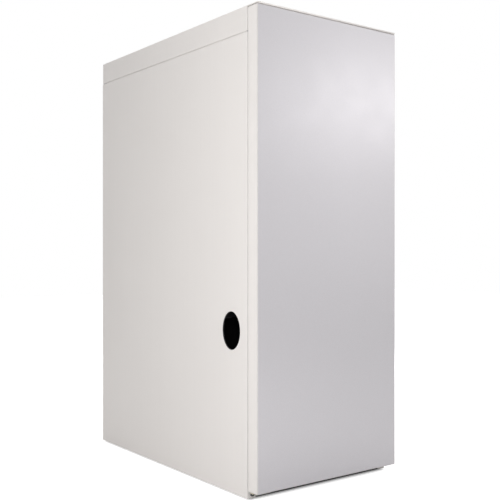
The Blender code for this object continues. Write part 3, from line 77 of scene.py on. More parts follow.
# Colours and levels that several lines share
SILVER = (0.640, 0.620, 0.643)
WHITE = (0.80, 0.765, 0.74)
FOIL = (0.60, 0.60, 0.61)
BLACK = (0.018, 0.018, 0.019)
NO_LIGHT = (0, 0, 0)
ZINC_CRYSTALS = ((0.43, 0.44, 0.46), (0.60, 0.61, 0.62))
ZINC_GLOSS = (0.34, 0.50)
CRYSTAL = 8 * MM
NOISE_RANGE = (0.3, 0.7)
STEP_HALF = 0.1 * MM

# The door's face: how deep its paint goes, its upper left darkened as painted shade, and its fold's white
# darkened as painted shade
DOOR_PAINT = 0.2 * MM
DOOR_FOLD = 1.6 * MM
DOOR_METAL = 0.80
FOLD_SHADE = 0.70
PAINTED_SHADE_FROM_X = 0.05
PAINTED_SHADE_RISE = (0.2, 0.55)
PAINTED_SHADE_SHARE = 0.09

# The casing's white: its drift, its upright streaks and the painted shade on the side panels' front edges
STREAK = 7 * MM
STREAK_STRETCH = (1, 1, 0.012)
STREAK_SHARE = 0.3
WHITE_DRIFT = 0.35
EDGE_Y = FLANGE_FACE + 1.1 * MM
EDGE_SHADE = 0.26

# A black patch of painted shade on the mat's corner, behind the oval hole
SHADE_PATCH_BLACK = (0.003, 0.003, 0.003)
SHADE_PATCH_EDGE_X = (-0.0985, -0.0980)
SHADE_PATCH_DEPTH = 0.060
SHADE_PATCH_EDGE = 0.5 * MM
SHADE_PATCH_Z = (0.232, 0.330)


class Finish:
    """A material under construction: a Principled shader with short calls for the nodes that feed it."""

    def __init__(self, name, colour, roughness, metallic=0.0):
        self.material = bpy.data.materials.new(name)
        self.material.use_nodes = True
        self.tree = self.material.node_tree
        self.inputs = self.tree.nodes["Principled BSDF"].inputs
        self.paint(colour)
        self.gloss(roughness)
        self.metal(metallic)
        self.places = self.tree.nodes.new("ShaderNodeTexCoord").outputs["Object"]

    def feed(self, value, target):
        """Link a socket to the target, or set the target to a plain value."""
        if isinstance(value, bpy.types.NodeSocket):
            self.tree.links.new(value, target)
        elif target.type == "RGBA":
            target.default_value = (*value, 1)
        else:
            target.default_value = value

    def paint(self, value):
        self.feed(value, self.inputs["Base Color"])

    def gloss(self, value):
        self.feed(value, self.inputs["Roughness"])

    def metal(self, value):
        self.feed(value, self.inputs["Metallic"])

    def node(self, kind, values, **settings):
        """A node with its settings, and its inputs fed by name or number."""
        made = self.tree.nodes.new(kind)
        for key, value in settings.items():
            setattr(made, key, value)
        for key, value in values.items():
            self.feed(value, made.inputs[key])
        return made

    def stretched(self, stretch):
        """Object coordinates, scaled along each axis where a stretch is given."""
        if stretch is None:
            return self.places
        return self.node("ShaderNodeMapping", {"Vector": self.places, "Scale": stretch}).outputs["Vector"]

    def noise(self, size, detail=2.0, stretch=None):
        """Noise whose features are about the given size."""
        values = {"Scale": 1 / size, "Detail": detail, "Roughness": 0.5, "Vector": self.stretched(stretch)}
        return self.node("ShaderNodeTexNoise", values).outputs["Fac"]

    def cells(self, size, output="Color"):
        return self.node("ShaderNodeTexVoronoi", {"Scale": 1 / size, "Vector": self.places}).outputs[output]

    def axis(self, letter):
        return self.node("ShaderNodeSeparateXYZ", {"Vector": self.places}).outputs[letter]

    def ranged(self, source, low, high, start=0.0, end=1.0):
        """The source's stretch from start to end spread from low to high, and held there beyond it."""
        values = {"Value": source, "From Min": start, "From Max": end, "To Min": low, "To Max": high}
        return self.node("ShaderNodeMapRange", values).outputs["Result"]

    def uneven(self, size, detail, low, high, span=NOISE_RANGE):
        """Noise of about the given size that wanders from low to high."""
        return self.ranged(self.noise(size, detail), low, high, *span)

    def past(self, letter, level):
        """Nothing before the level on this axis and one past it."""
        return self.ranged(self.axis(letter), 0, 1, level - STEP_HALF, level + STEP_HALF)

    def maths(self, operation, first, second):
        return self.node("ShaderNodeMath", {0: first, 1: second}, operation=operation).outputs["Value"]

    def between(self, factor, first, second):
        """A colour from first to second, each a colour or a socket."""
        made = self.node("ShaderNodeMix", {"Factor": factor}, data_type="RGBA")
        for value, key in ((first, "A"), (second, "B")):
            self.feed(value, next(s for s in made.inputs if s.name == key and s.type == "RGBA"))
        return next(s for s in made.outputs if s.type == "RGBA")

    def bump(self, source, height):
        """Relief whose full range is the given height, on top of any that is there."""
        made = self.node("ShaderNodeBump", {"Distance": height, "Strength": 1.0, "Height": source})
        normal = self.inputs["Normal"]
        if normal.is_linked:
            self.feed(normal.links[0].from_socket, made.inputs["Normal"])
        self.feed(made.outputs["Normal"], normal)

    def tone(self, colour, share, size, detail=2.0):
        """Paint that drifts by the given share either way."""
        drift = self.uneven(size, detail, 0, 1)
        self.paint(self.between(drift, shaded(colour, 1 - share), shaded(colour, 1 + share)))

    def zinc(self):
        """Flat zinc crystals that each take the light their own way."""
        crystals = self.cells(CRYSTAL)
        self.gloss(self.ranged(crystals, *ZINC_GLOSS))
        return self.between(self.ranged(crystals, 0, 1, 0.1, 0.9), *ZINC_CRYSTALS)


def shaded(colour, factor):
    return tuple(min(1.0, channel * factor) for channel in colour)


def door_silver():
    """Silver on the door's face, fine metal flakes in a satin lacquer, and the casing's white behind;
    painted shade darkens the face's upper left and the white of the fold.
    """
    finish = Finish("door_silver", SILVER, 0.31, DOOR_METAL)
    flakes = finish.ranged(finish.cells(0.5 * MM), 0, 1)
    silver = finish.between(flakes, shaded(SILVER, 0.95), shaded(SILVER, 1.05))
    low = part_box("front_door")[0]
    # Painted shade: the silver is darkened a little towards the upper left of the face.
    leftwards = finish.ranged(finish.axis("X"), 1, 0, low.x, PAINTED_SHADE_FROM_X)
    upwards = finish.ranged(finish.axis("Z"), 0, 1, *PAINTED_SHADE_RISE)
    painted_shade = finish.maths("MULTIPLY", leftwards, upwards)
    silver = finish.between(finish.ranged(painted_shade, 0, PAINTED_SHADE_SHARE), silver, NO_LIGHT)
    behind = finish.past("Y", low.y + DOOR_PAINT)
    # Painted shade: the white of the fold just behind the face is darkened.
    returned = finish.between(finish.past("Y", low.y + DOOR_FOLD), shaded(WHITE, FOLD_SHADE), WHITE)
    finish.paint(finish.between(behind, silver, returned))
    finish.metal(finish.ranged(behind, DOOR_METAL, 0))
    finish.gloss(finish.maths("ADD", finish.uneven(0.05, 3, 0.29, 0.33), finish.ranged(behind, 0, 0.11)))
    finish.bump(finish.noise(1.6 * MM, 1), 0.004 * MM)
    return finish.material


def casing_white():
    """White powder coat with the faint upright streaks of its spraying."""
    finish = Finish("casing_white", WHITE, 0.42)
    drift = finish.uneven(WHITE_DRIFT, 2, 0, 1)
    streaks = finish.ranged(finish.noise(STREAK, 1, STREAK_STRETCH), 0, 1, *NOISE_RANGE)
    even = finish.maths("MULTIPLY", drift, 1 - STREAK_SHARE)
    streaky = finish.maths("MULTIPLY", streaks, STREAK_SHARE)
    white = finish.between(finish.maths("ADD", even, streaky), shaded(WHITE, 0.985), shaded(WHITE, 1.015))
    # Painted shade: the side panels' front edges, in the door gap, are darkened below the panels' top.
    before = finish.ranged(finish.past("Y", EDGE_Y), 1, 0)
    under = finish.ranged(finish.past("Z", PANEL_TOP), 1, 0)
    edge = finish.ranged(finish.maths("MULTIPLY", before, under), 0, EDGE_SHADE)
    finish.paint(finish.between(edge, white, NO_LIGHT))
    finish.gloss(finish.uneven(0.06, 3, 0.39, 0.45))
    finish.bump(finish.noise(2.2 * MM, 1), 0.012 * MM)
    return finish.material


def frame_black():
    """Matt black paint with a little dust in it."""
    finish = Finish("frame_black", (0.022, 0.022, 0.024), 0.6)
    dust = finish.uneven(0.03, 4, 0, 1, (0.5, 0.8))
    finish.paint(finish.between(dust, (0.018, 0.018, 0.020), (0.05, 0.048, 0.045)))
    finish.gloss(finish.uneven(0.02, 3, 0.5, 0.7))
    finish.bump(finish.noise(0.8 * MM, 2), 0.02 * MM)
    return finish.material


def galvanised_sheet():
    """Hot-dipped zinc, with crystals a few millimetres across."""
    finish = Finish("galvanised_sheet", (0.50, 0.51, 0.52), 0.42, 0.9)
    finish.paint(finish.zinc())
    finish.bump(finish.noise(5 * MM, 2), 0.03 * MM)
    return finish.material


def zinc_plate():
    """Zinc plate with the faint straw and blue of its passivation."""
    finish = Finish("zinc_plate", (0.58, 0.58, 0.57), 0.32, 0.95)
    drift = finish.uneven(0.012, 3, 0, 1, (0.35, 0.65))
    finish.paint(finish.between(drift, (0.55, 0.58, 0.62), (0.66, 0.61, 0.49)))
    finish.gloss(finish.uneven(3 * MM, 2, 0.26, 0.40))
    return finish.material


def boiler_paint():
    """Heat-resistant dark grey, dry to the touch, with a few dull patches."""
    finish = Finish("boiler_paint", (0.05, 0.052, 0.055), 0.6)
    finish.tone((0.052, 0.053, 0.056), 0.25, 0.04, 4)
    finish.gloss(finish.uneven(0.03, 4, 0.5, 0.7))
    finish.bump(finish.noise(1.2 * MM, 3), 0.06 * MM)
    return finish.material


def machined(name, colour, roughness, dull, dulling=0.35):
    """Turned or drawn metal: fine scoring, and a dull film in patches."""
    finish = Finish(name, colour, roughness, 1.0)
    finish.paint(finish.between(finish.uneven(0.015, 4, 0, dulling, (0.45, 0.7)), colour, dull))
    scoring = finish.noise(0.5 * MM, 2, (1, 1, 0.15))
    finish.gloss(finish.ranged(scoring, roughness - 0.05, roughness + 0.12, *NOISE_RANGE))
    finish.bump(scoring, 0.008 * MM)
    return finish.material


def brass():
    return machined("brass", (0.66, 0.49, 0.22), 0.27, (0.34, 0.25, 0.13))


def bright_steel():
    return machined("bright_steel", (0.60, 0.60, 0.59), 0.28, (0.40, 0.39, 0.37))


def copper():
    return machined("copper", (0.75, 0.40, 0.26), 0.28, (0.36, 0.19, 0.13), 0.6)


def burner_steel():
    """Steel that the flames have tinted, from straw low down to blue and grey beside the slots."""
    finish = Finish("burner_steel", (0.5, 0.47, 0.43), 0.38, 1.0)
    low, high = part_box("burner_tube_1")
    wander = finish.ranged(finish.noise(0.03, 3), -0.15, 0.15)
    height = finish.maths("ADD", finish.ranged(finish.axis("Z"), 0, 1, low.z, high.z), wander)
    straw = finish.between(finish.ranged(height, 0, 1, 0.1, 0.55), (0.55, 0.54, 0.52), (0.52, 0.39, 0.24))
    finish.paint(finish.between(finish.ranged(height, 0, 1, 0.6, 0.95), straw, (0.20, 0.22, 0.30)))
    finish.gloss(finish.uneven(8 * MM, 4, 0.32, 0.52))
    return finish.material


def moulded(name, colour, roughness, grain):
    """Moulded plastic with a fine spark-eroded grain."""
    finish = Finish(name, colour, roughness)
    finish.tone(colour, 0.08, 0.02)
    finish.gloss(finish.uneven(4 * MM, 2, roughness - 0.04, roughness + 0.06))
    finish.bump(finish.noise(0.35 * MM, 2), grain)
    return finish.material


def black_plastic():
    return moulded("black_plastic", BLACK, 0.42, 0.02 * MM)


def red_plastic():
    return moulded("red_plastic", (0.48, 0.022, 0.018), 0.28, 0.004 * MM)


def panel_grey():
    """Baked grey paint: an even tone, a faint orange peel and a gloss that drifts slowly."""
    finish = Finish("panel_grey", (0.27, 0.28, 0.29), 0.45)
    finish.tone((0.27, 0.28, 0.29), 0.012, 0.35)
    finish.gloss(finish.uneven(0.06, 3, 0.42, 0.48))
    finish.bump(finish.noise(2.2 * MM, 1), 0.03 * MM)
    return finish.material


def valve_casting():
    """Die-cast aluminium, tumbled to an even fine grain."""
    finish = Finish("valve_casting", (0.45, 0.455, 0.46), 0.48, 0.85)
    finish.tone((0.45, 0.455, 0.46), 0.10, 0.01, 4)
    finish.gloss(finish.uneven(3 * MM, 3, 0.40, 0.56))
    finish.bump(finish.noise(0.7 * MM, 3), 0.05 * MM)
    return finish.material


def clear_glass():
    finish = Finish("clear_glass", (0.98, 0.99, 0.99), 0.02)
    finish.feed(1.0, finish.inputs["Transmission Weight"])
    finish.feed(1.46, finish.inputs["IOR"])
    finish.gloss(finish.uneven(6 * MM, 3, 0.01, 0.05, (0.4, 0.7)))
    return finish.material


def foot_rubber():
    """A levelling foot: a moulded rubber pad under a plated steel nut and stud."""
    finish = Finish("foot_rubber", (0.02, 0.02, 0.02), 0.7)
    steel = finish.past("Z", PAD_TOP)
    dust = finish.ranged(finish.noise(6 * MM, 3), 0, 1)
    dusty = finish.between(dust, (0.018, 0.018, 0.018), (0.04, 0.038, 0.036))
    finish.paint(finish.between(steel, dusty, (0.56, 0.56, 0.55)))
    finish.metal(steel)
    finish.gloss(finish.ranged(steel, 0.72, 0.34))
    return finish.material


def ceramic():
    """A black lead, a glazed ceramic sleeve and a steel tip, one behind the other."""
    finish = Finish("ceramic", (0.85, 0.83, 0.78), 0.2)
    past_lead = finish.past("Y", PLATE_FACE - SLEEVE_PROUD)
    past_sleeve = finish.past("Y", PLATE_FACE + PLATE_SHEET + SLEEVE_PROUD)
    clouds = finish.ranged(finish.noise(4 * MM, 3), 0, 1)
    glaze = finish.between(clouds, (0.86, 0.84, 0.79), (0.78, 0.75, 0.69))
    lead = finish.between(past_lead, (0.02, 0.02, 0.021), glaze)
    finish.paint(finish.between(past_sleeve, lead, (0.45, 0.40, 0.34)))
    finish.metal(past_sleeve)
    finish.gloss(finish.ranged(past_lead, 0.5, 0.2))
    return finish.material


def thermostat():
    """A black moulded body with a plated nut in front of the panel."""
    finish = Finish("limit_thermostat", BLACK, 0.42)
    body = finish.past("Y", PANEL_FACE)
    finish.paint(finish.between(body, (0.60, 0.60, 0.58), BLACK))
    finish.metal(finish.ranged(body, 1, 0))
    finish.gloss(finish.uneven(3 * MM, 2, 0.3, 0.44))
    return finish.material


def cover_with_grip():
    """Galvanised sheet with a black moulded grip above it."""
    finish = Finish("cleaning_cover", (0.5, 0.51, 0.52), 0.42)
    grip = finish.past("Z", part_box("cleaning_cover")[0].z + PLATE_SHEET)
    finish.paint(finish.between(grip, finish.zinc(), BLACK))
    finish.metal(finish.ranged(grip, 0.9, 0))
    return finish.material


def foil_faced_mat():
    """Foil glued to wool, softly creased, with a black patch of painted shade at the corner by the gas pipe,
    seen through the oval hole.
    """
    finish = Finish("foil_faced_mat", FOIL, 0.36, 0.95)
    foil = finish.between(finish.uneven(0.05, 2, 0, 1), shaded(FOIL, 0.94), shaded(FOIL, 1.06))
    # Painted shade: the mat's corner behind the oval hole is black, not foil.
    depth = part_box("insulation_mat")[0].y + SHADE_PATCH_DEPTH
    across = finish.ranged(finish.axis("X"), 1, 0, *SHADE_PATCH_EDGE_X)
    deep = finish.ranged(finish.axis("Y"), 1, 0, depth, depth + SHADE_PATCH_EDGE)
    above = finish.past("Z", SHADE_PATCH_Z[0])
    below = finish.ranged(finish.past("Z", SHADE_PATCH_Z[1]), 1, 0)
    upright = finish.maths("MULTIPLY", above, below)
    shade_patch = finish.maths("MULTIPLY", finish.maths("MULTIPLY", across, deep), upright)
    finish.paint(finish.between(shade_patch, foil, SHADE_PATCH_BLACK))
    finish.metal(finish.ranged(shade_patch, 0.95, 0))
    finish.gloss(finish.maths("ADD", finish.uneven(0.01, 3, 0.30, 0.44), finish.ranged(shade_patch, 0, 0.5)))
    finish.feed(0.1, finish.inputs["Specular IOR Level"])
    finish.bump(finish.noise(0.03, 3), 0.6 * MM)
    finish.bump(finish.cells(9 * MM, "Distance"), 0.35 * MM)
    finish.bump(finish.cells(3 * MM, "Distance"), 0.08 * MM)
    return finish.material


def mineral_wool():
    """The mat's cut ends, where the yellow wool shows."""
    finish = Finish("mineral_wool", (0.72, 0.60, 0.30), 0.95)
    fibres = finish.noise(1.5 * MM, 5, (1, 1, 6))
    finish.paint(finish.between(fibres, (0.50, 0.39, 0.17), (0.85, 0.74, 0.44)))
    finish.bump(fibres, 0.8 * MM)
    return finish.material


# Each finish is named like the slot it fills
SLOT_FINISHES = (
    door_silver, casing_white, frame_black, zinc_plate, boiler_paint, galvanised_sheet, brass, bright_steel,
    copper, black_plastic, red_plastic, panel_grey, valve_casting, clear_glass, ceramic, foil_faced_mat,
    foot_rubber,
)


def dress_nodes():
    """Every CAD node takes its slot's finish, but for the few that hold more than one material."""
    by_slot = {make.__name__: make() for make in SLOT_FINISHES}
    tinted = burner_steel()
    mixed = {f"burner_tube_{number}": tinted for number in (1, 2, 3)}
    mixed["limit_thermostat"] = thermostat()
    mixed["cleaning_cover"] = cover_with_grip()
    for part in frame["record"]["subparts"]:
        name = part["node"]
        NODES[name].material_slots[0].material = mixed.get(name, by_slot[part["material_slot"]])
    return by_slot


# Turned and drawn nodes whose facets are shaded as one round face
SHARP = math.radians(35)
WELD = 0.02 * MM
ROUND_NODES = (
    "burner_manifold", "burner_tube_1", "burner_tube_2", "burner_tube_3", "drain_cock", "fire_tube_1",
    "fire_tube_2", "flow_pipe", "flue_collar", "foot_front_left", "foot_front_right", "foot_rear_left",
    "foot_rear_right", "gas_inlet_pipe", "gas_outlet_pipe", "gas_valve_knob", "hinge_bolt",
    "ignition_electrode", "limit_thermostat", "piezo_button", "piezo_igniter", "pilot_burner",
    "pilot_button", "reset_button", "return_pipe", "sight_glass", "thermocouple",
    "thermometer_capillary", "thermometer_case", "thermometer_glass",
)


def rounding():
    """A node group that welds a mesh's corners and shades it smooth but for its sharp edges."""
    group = bpy.data.node_groups.new("rounding", "GeometryNodeTree")
    group.interface.new_socket("Geometry", in_out="INPUT", socket_type="NodeSocketGeometry")
    group.interface.new_socket("Geometry", in_out="OUTPUT", socket_type="NodeSocketGeometry")
    steps = [group.nodes.new(kind) for kind in (
        "NodeGroupInput", "GeometryNodeMergeByDistance", "GeometryNodeRemoveAttribute",
        "GeometryNodeSetShadeSmooth", "GeometryNodeSetShadeSmooth", "NodeGroupOutput",
    )]
    weld, bare, faces, edges = steps[1:5]
    weld.inputs["Distance"].default_value = WELD
    bare.inputs["Name"].default_value = "custom_normal"
    edges.domain = "EDGE"
    edges.inputs["Shade Smooth"].default_value = False
    for first, second in zip(steps, steps[1:]):
        group.links.new(first.outputs[0], second.inputs[0])
    angle = group.nodes.new("GeometryNodeInputMeshEdgeAngle")
    sharp = group.nodes.new("ShaderNodeMath")
    sharp.operation = "GREATER_THAN"
    sharp.inputs[1].default_value = SHARP
    group.links.new(angle.outputs["Unsigned Angle"], sharp.inputs[0])
    group.links.new(sharp.outputs["Value"], edges.inputs["Selection"])
    return group


def smooth_nodes():
    group = rounding()
    for name in ROUND_NODES:
        NODES[name].modifiers.new("Rounding", "NODES").node_group = group


# Building blocks: profiles are (radius, height) points in millimetres
UPWARDS = Matrix.Identity(4)
DOWNWARDS = Matrix.Rotation(math.pi, 4, "X")
TO_FRONT = Matrix.Rotation(math.radians(90), 4, "X")
TO_BACK = Matrix.Rotation(math.radians(-90), 4, "X")
TO_LEFT = Matrix.Rotation(math.radians(-90), 4, "Y")
TO_RIGHT = Matrix.Rotation(math.radians(90), 4, "Y")
HEX = 6
SMALL_ROUND = 24
ROUND = 32
FINE_ROUND = 48
PRINT = 0.12 * MM


def placed(at, facing=UPWARDS):
    return Matrix.Translation(at) @ facing


def raised(place, level):
    return place @ Matrix.Translation((0, 0, level))


def spun(place):
    """The place turned at random about its own axis, as hands leave a fastener."""
    return place @ Matrix.Rotation(random.uniform(0, math.pi), 4, "Z")


def middle(node):
    low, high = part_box(node)
    return (low + high) / 2


def at_sides(x, y, rows):
    return [(side, y, z) for side in (-x, x) for z in rows]


def mesh_of(name, shape):
    """The shape's mesh, with its faces turned outwards."""
    bmesh.ops.recalc_face_normals(shape, faces=shape.faces)
    mesh = bpy.data.meshes.new(name)
    shape.to_mesh(mesh)
    shape.free()
    return mesh


def added(name, data):
    obj = bpy.data.objects.new(name, data)
    bpy.context.scene.collection.objects.link(obj)
    return obj


def piece(name, shape, slot, body="casing"):
    """An object from a built shape, smooth but for its sharp edges, that rides on a body."""
    mesh = mesh_of(name, shape)
    mesh.shade_smooth()
    mesh.set_sharp_from_angle(angle=SHARP)
    mesh.materials.append(FINISH_OF[slot])
    obj = added(name, mesh)
    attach(obj, body)
    return obj


def corners(shape, ring, place=UPWARDS):
    return [shape.verts.new(place @ Vector(point)) for point in ring]


def skin(shape, loops):
    """Faces between each loop of corners and the next."""
    for first, second in zip(loops, loops[1:]):
        for step in range(len(first)):
            after = (step + 1) % len(first)
            shape.faces.new((first[step], first[after], second[after], second[step]))


def loft(shape, rings, place=UPWARDS, closed=False):
    """A skin over rings of as many points each, capped at both ends or joined end to end."""
    loops = [corners(shape, ring, place) for ring in rings]
    if closed:
        loops.append(loops[0])
    else:
        shape.faces.new(loops[0])
        shape.faces.new(loops[-1])
    skin(shape, loops)


def circle(radius, height, steps):
    turns = [2 * math.pi * step / steps for step in range(steps)]
    return [(radius * math.cos(turn), radius * math.sin(turn), height) for turn in turns]


def turned(shape, profile, place, steps=ROUND, closed=False, bore=0.0):
    """A turned solid from a profile, grown by a bore in metres; closed makes it a ring."""
    rings = [circle(bore + radius * MM, height * MM, steps) for radius, height in profile]
    loft(shape, rings, place, closed)


def oblong(first, second):
    return [(first[0], second[0]), (first[1], second[0]), (first[1], second[1]), (first[0], second[1])]


def prism(shape, outline, span, axis="Z", place=UPWARDS):
    """An outline in the other two axes, carried along this one over its span."""
    index = "XYZ".index(axis)
    loft(shape, [[(*point[:index], level, *point[index:]) for point in outline] for level in span], place)


def bar(shape, start, stop, width, span, place):
    """A straight flat bar between two points of a plane, as high as its span."""
    start, stop = Vector(start), Vector(stop)
    ahead = (stop - start).normalized()
    side = Vector((-ahead.y, ahead.x)) * width / 2
    prism(shape, [start + side, start - side, stop - side, stop + side], span, "Z", place)


def arc_band(shape, radii, span, turns, steps, place):
    """A flat band between two radii, from the first angle to the last, as high as its span."""
    rings = []
    for step in range(steps + 1):
        turn = math.radians(turns[0] + (turns[1] - turns[0]) * step / steps)
        x, y = math.cos(turn), math.sin(turn)
        rings.append([(radius * x, radius * y, level) for radius, level in oblong(radii, span)])
    loft(shape, rings, place)


def rounded(width, height, radius, level, steps=5):
    """A rectangle with round corners, at a level."""
    points = []
    for corner, (side, end) in enumerate(((1, 1), (-1, 1), (-1, -1), (1, -1))):
        for step in range(steps + 1):
            turn = math.pi / 2 * (corner + step / steps)
            x = side * (width / 2 - radius) + radius * math.cos(turn)
            y = end * (height / 2 - radius) + radius * math.sin(turn)
            points.append((x, y, level))
    return points


def along(points, section, closed=False):
    """Rings of a flat section carried along a path that runs nearly level."""
    ends = (-1, 0) if closed else (0, -1)
    path = [points[ends[0]], *points, points[ends[1]]]
    rings = []
    for before, point, after in zip(path, points, path[2:]):
        turn = (after - before).to_track_quat("Z", "Y")
        rings.append([point + turn @ Vector((x, y, 0)) for x, y in section])
    return rings


def dome(radius, height, top_share, steps=4):
    """Profile of a low head, from its seat up a quarter ellipse to a flat top."""
    last = math.acos(top_share)
    turns = [last * step / steps for step in range(steps + 1)]
    return [(radius * math.cos(turn), height * math.sin(turn) / math.sin(last)) for turn in turns]


# Screws, bolts and rivets
SCREW_DOME = dome(3.5, 2.0, 0.72)
SCREW_HEAD = 2.0 * MM
CROSS_REACH = 1.9 * MM
CROSS_HALF = 0.45 * MM
CROSS_DEPTH = 1.1 * MM
CROSS_TAPER = 0.6
WASHER = ((7, 0), (7, 1))
BOLT_HEAD = ((5.5, 1), (5.5, 4.6), (5.1, 5))
RIVET_DOME = dome(2.2, 1.0, 0.2)
RIVET_STEPS = 16
RIVET_ROWS = 4
RIVET_FROM_EDGE = 10 * MM
SCREW_FROM_SIDE = 11.7 * MM
SCREW_FROM_END = 15 * MM
LID_SCREW_X = 0.1
HINGE_SCREWS_X = (8 * MM, 25 * MM)
HINGE_FLANGE = 10 * MM
STAND_BOLT_X = 0.150
STAND_BOLT_FRONT = 35 * MM
STAND_BOLT_BACK = 40 * MM


def cross_outline(level, share=1.0):
    """The twelve corners of a cross recess."""
    reach = CROSS_REACH * share
    half = CROSS_HALF * share
    points = []
    for turn in range(4):
        for x, y in ((reach, -half), (reach, half), (half, half)):
            for _ in range(turn):
                x, y = -y, x
            points.append((x, y, level))
    return points


def screw(shape, place):
    """A pan head with a cross recess."""
    rings = [circle(radius * MM, height * MM, SMALL_ROUND) for radius, height in SCREW_DOME]
    loops = [corners(shape, ring, place) for ring in rings]
    cross = corners(shape, cross_outline(SCREW_HEAD), place)
    bottom = corners(shape, cross_outline(SCREW_HEAD - CROSS_DEPTH, CROSS_TAPER), place)
    skin(shape, loops)
    skin(shape, (cross, bottom))
    shape.faces.new(loops[0])
    shape.faces.new(bottom)
    borders = []
    for loop in (loops[-1], cross):
        borders += [shape.edges.get((loop[step - 1], loop[step])) for step in range(len(loop))]
    bmesh.ops.triangle_fill(shape, edges=borders, use_beauty=True)


def bolt(shape, place):
    """A hexagon head on its washer."""
    turned(shape, WASHER, place)
    turned(shape, BOLT_HEAD, place, HEX)


def rivet(shape, place):
    turned(shape, RIVET_DOME, place, RIVET_STEPS)


def heads(name, make, places, facing):
    """A group of like heads on the casing, each turned its own way."""
    shape = bmesh.new()
    for place in places:
        make(shape, spun(placed(place, facing)))
    piece(name, shape, "zinc_plate")


def add_fasteners():
    """Screws, bolts and rivets that hold the sheets together."""
    low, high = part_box("instrument_panel")
    rows = (low.z + SCREW_FROM_END, high.z - SCREW_FROM_END)
    heads("instrument_panel_screws", screw, at_sides(high.x - SCREW_FROM_SIDE, low.y, rows), TO_FRONT)
    low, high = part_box("top_cover")
    heads("top_cover_screws", screw, at_sides(LID_SCREW_X, high.y, [(low.z + high.z) / 2]), TO_BACK)
    rows = (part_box("base_cross_front")[1].z - SCREW_FROM_END, PANEL_TOP - SCREW_FROM_END)
    heads("side_panel_screws", screw, at_sides(high.x - SCREW_FROM_SIDE, FLANGE_FACE, rows), TO_FRONT)
    low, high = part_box("burner_plate")
    rows = (low.z + SCREW_FROM_END, (low.z + high.z) / 2, high.z - SCREW_FROM_END)
    heads("burner_plate_screws", screw, at_sides(high.x - SCREW_FROM_END, PLATE_FACE, rows), TO_FRONT)
    low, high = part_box("lower_hinge_plate")
    places = [(high.x - across, high.y - PLATE_SHEET, low.z + HINGE_FLANGE / 2) for across in HINGE_SCREWS_X]
    heads("hinge_plate_screws", screw, places, TO_FRONT)
    low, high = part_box("boiler_stand")
    depths = (low.y + STAND_BOLT_FRONT, high.y - STAND_BOLT_BACK)
    places = [(x, y, low.z + PLATE_SHEET) for x in (-STAND_BOLT_X, STAND_BOLT_X) for y in depths]
    heads("boiler_stand_bolts", bolt, places, UPWARDS)
    low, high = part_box("flue_hood")
    rise = (high.z - low.z - 2 * RIVET_FROM_EDGE) / (RIVET_ROWS - 1)
    rows = [low.z + RIVET_FROM_EDGE + rise * step for step in range(RIVET_ROWS)]
    heads("flue_hood_rivets", rivet, at_sides(high.x - RIVET_FROM_EDGE, low.y, rows), TO_FRONT)


# The lid's tabs and seals, the oval hole's edging and the door's hinge
TAB = 9 * MM
TAB_CLEAR = 1.2 * MM
TAB_SHEET = 1 * MM
TAB_FOOT = 0.5 * MM
TAB_HEAD_ROOM = 4 * MM
LID_SHEET = 1.0 * MM
SEAL_CLEAR = 0.2 * MM
SEAL_EDGE = 0.3 * MM
SEAL_END = 1 * MM
SEAL_THICKNESS = 1.6 * MM
SEAL_HEIGHT = 7 * MM
SEAL_FOOT = 2 * MM
LIP_DROP = 1.3 * MM
LIP_FRONT = 0.6 * MM
LIP_LEAN = 0.2 * MM
LIP_DEPTH = 13 * MM
LIP_END = 1.5 * MM
LIP_STOP = 0.5 * MM
FILLER_START = 2.2 * MM
OVAL_AT = (-0.234, 0.288)
OVAL_HALF = (0.0265, 0.034)
OVAL_STEPS = 64
OVAL_EDGING = ((-0.1, 0.15), (-0.1, 1.4), (2.2, 1.4), (2.2, 2.4), (-0.7, 2.4), (-0.7, 0.4))
HINGE_AXIS = (-0.1625, -0.289)
PIN_HEAD = ((3.4, 0), (3.4, 3.6), (3.0, 4))
PIN_HEAD_SINK = 0.1 * MM
BOLT_COLLAR_RADIUS = 3.4 * MM
PEG_UNDER = 15 * MM
SPRING_HEIGHT = 10 * MM
SPRING_RADIUS = 3.15 * MM
SPRING_WIRE = 0.3 * MM
SPRING_TURNS = 3.5
SPRING_STEPS = 84
WIRE_STEPS = 8


def add_seam_tabs():
    """White tabs of the lid's skirt behind the door's seam, in line with the side panels' flanges."""
    low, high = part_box("top_cover")
    shape = bmesh.new()
    for side in (-1, 1):
        across = (side * (high.x - TAB), side * (high.x - TAB_CLEAR))
        outline = oblong(across, (FLANGE_FACE, FLANGE_FACE + TAB_SHEET))
        prism(shape, outline, (low.z + TAB_FOOT, high.z - TAB_HEAD_ROOM))
    piece("top_cover_tabs", shape, "casing_white")


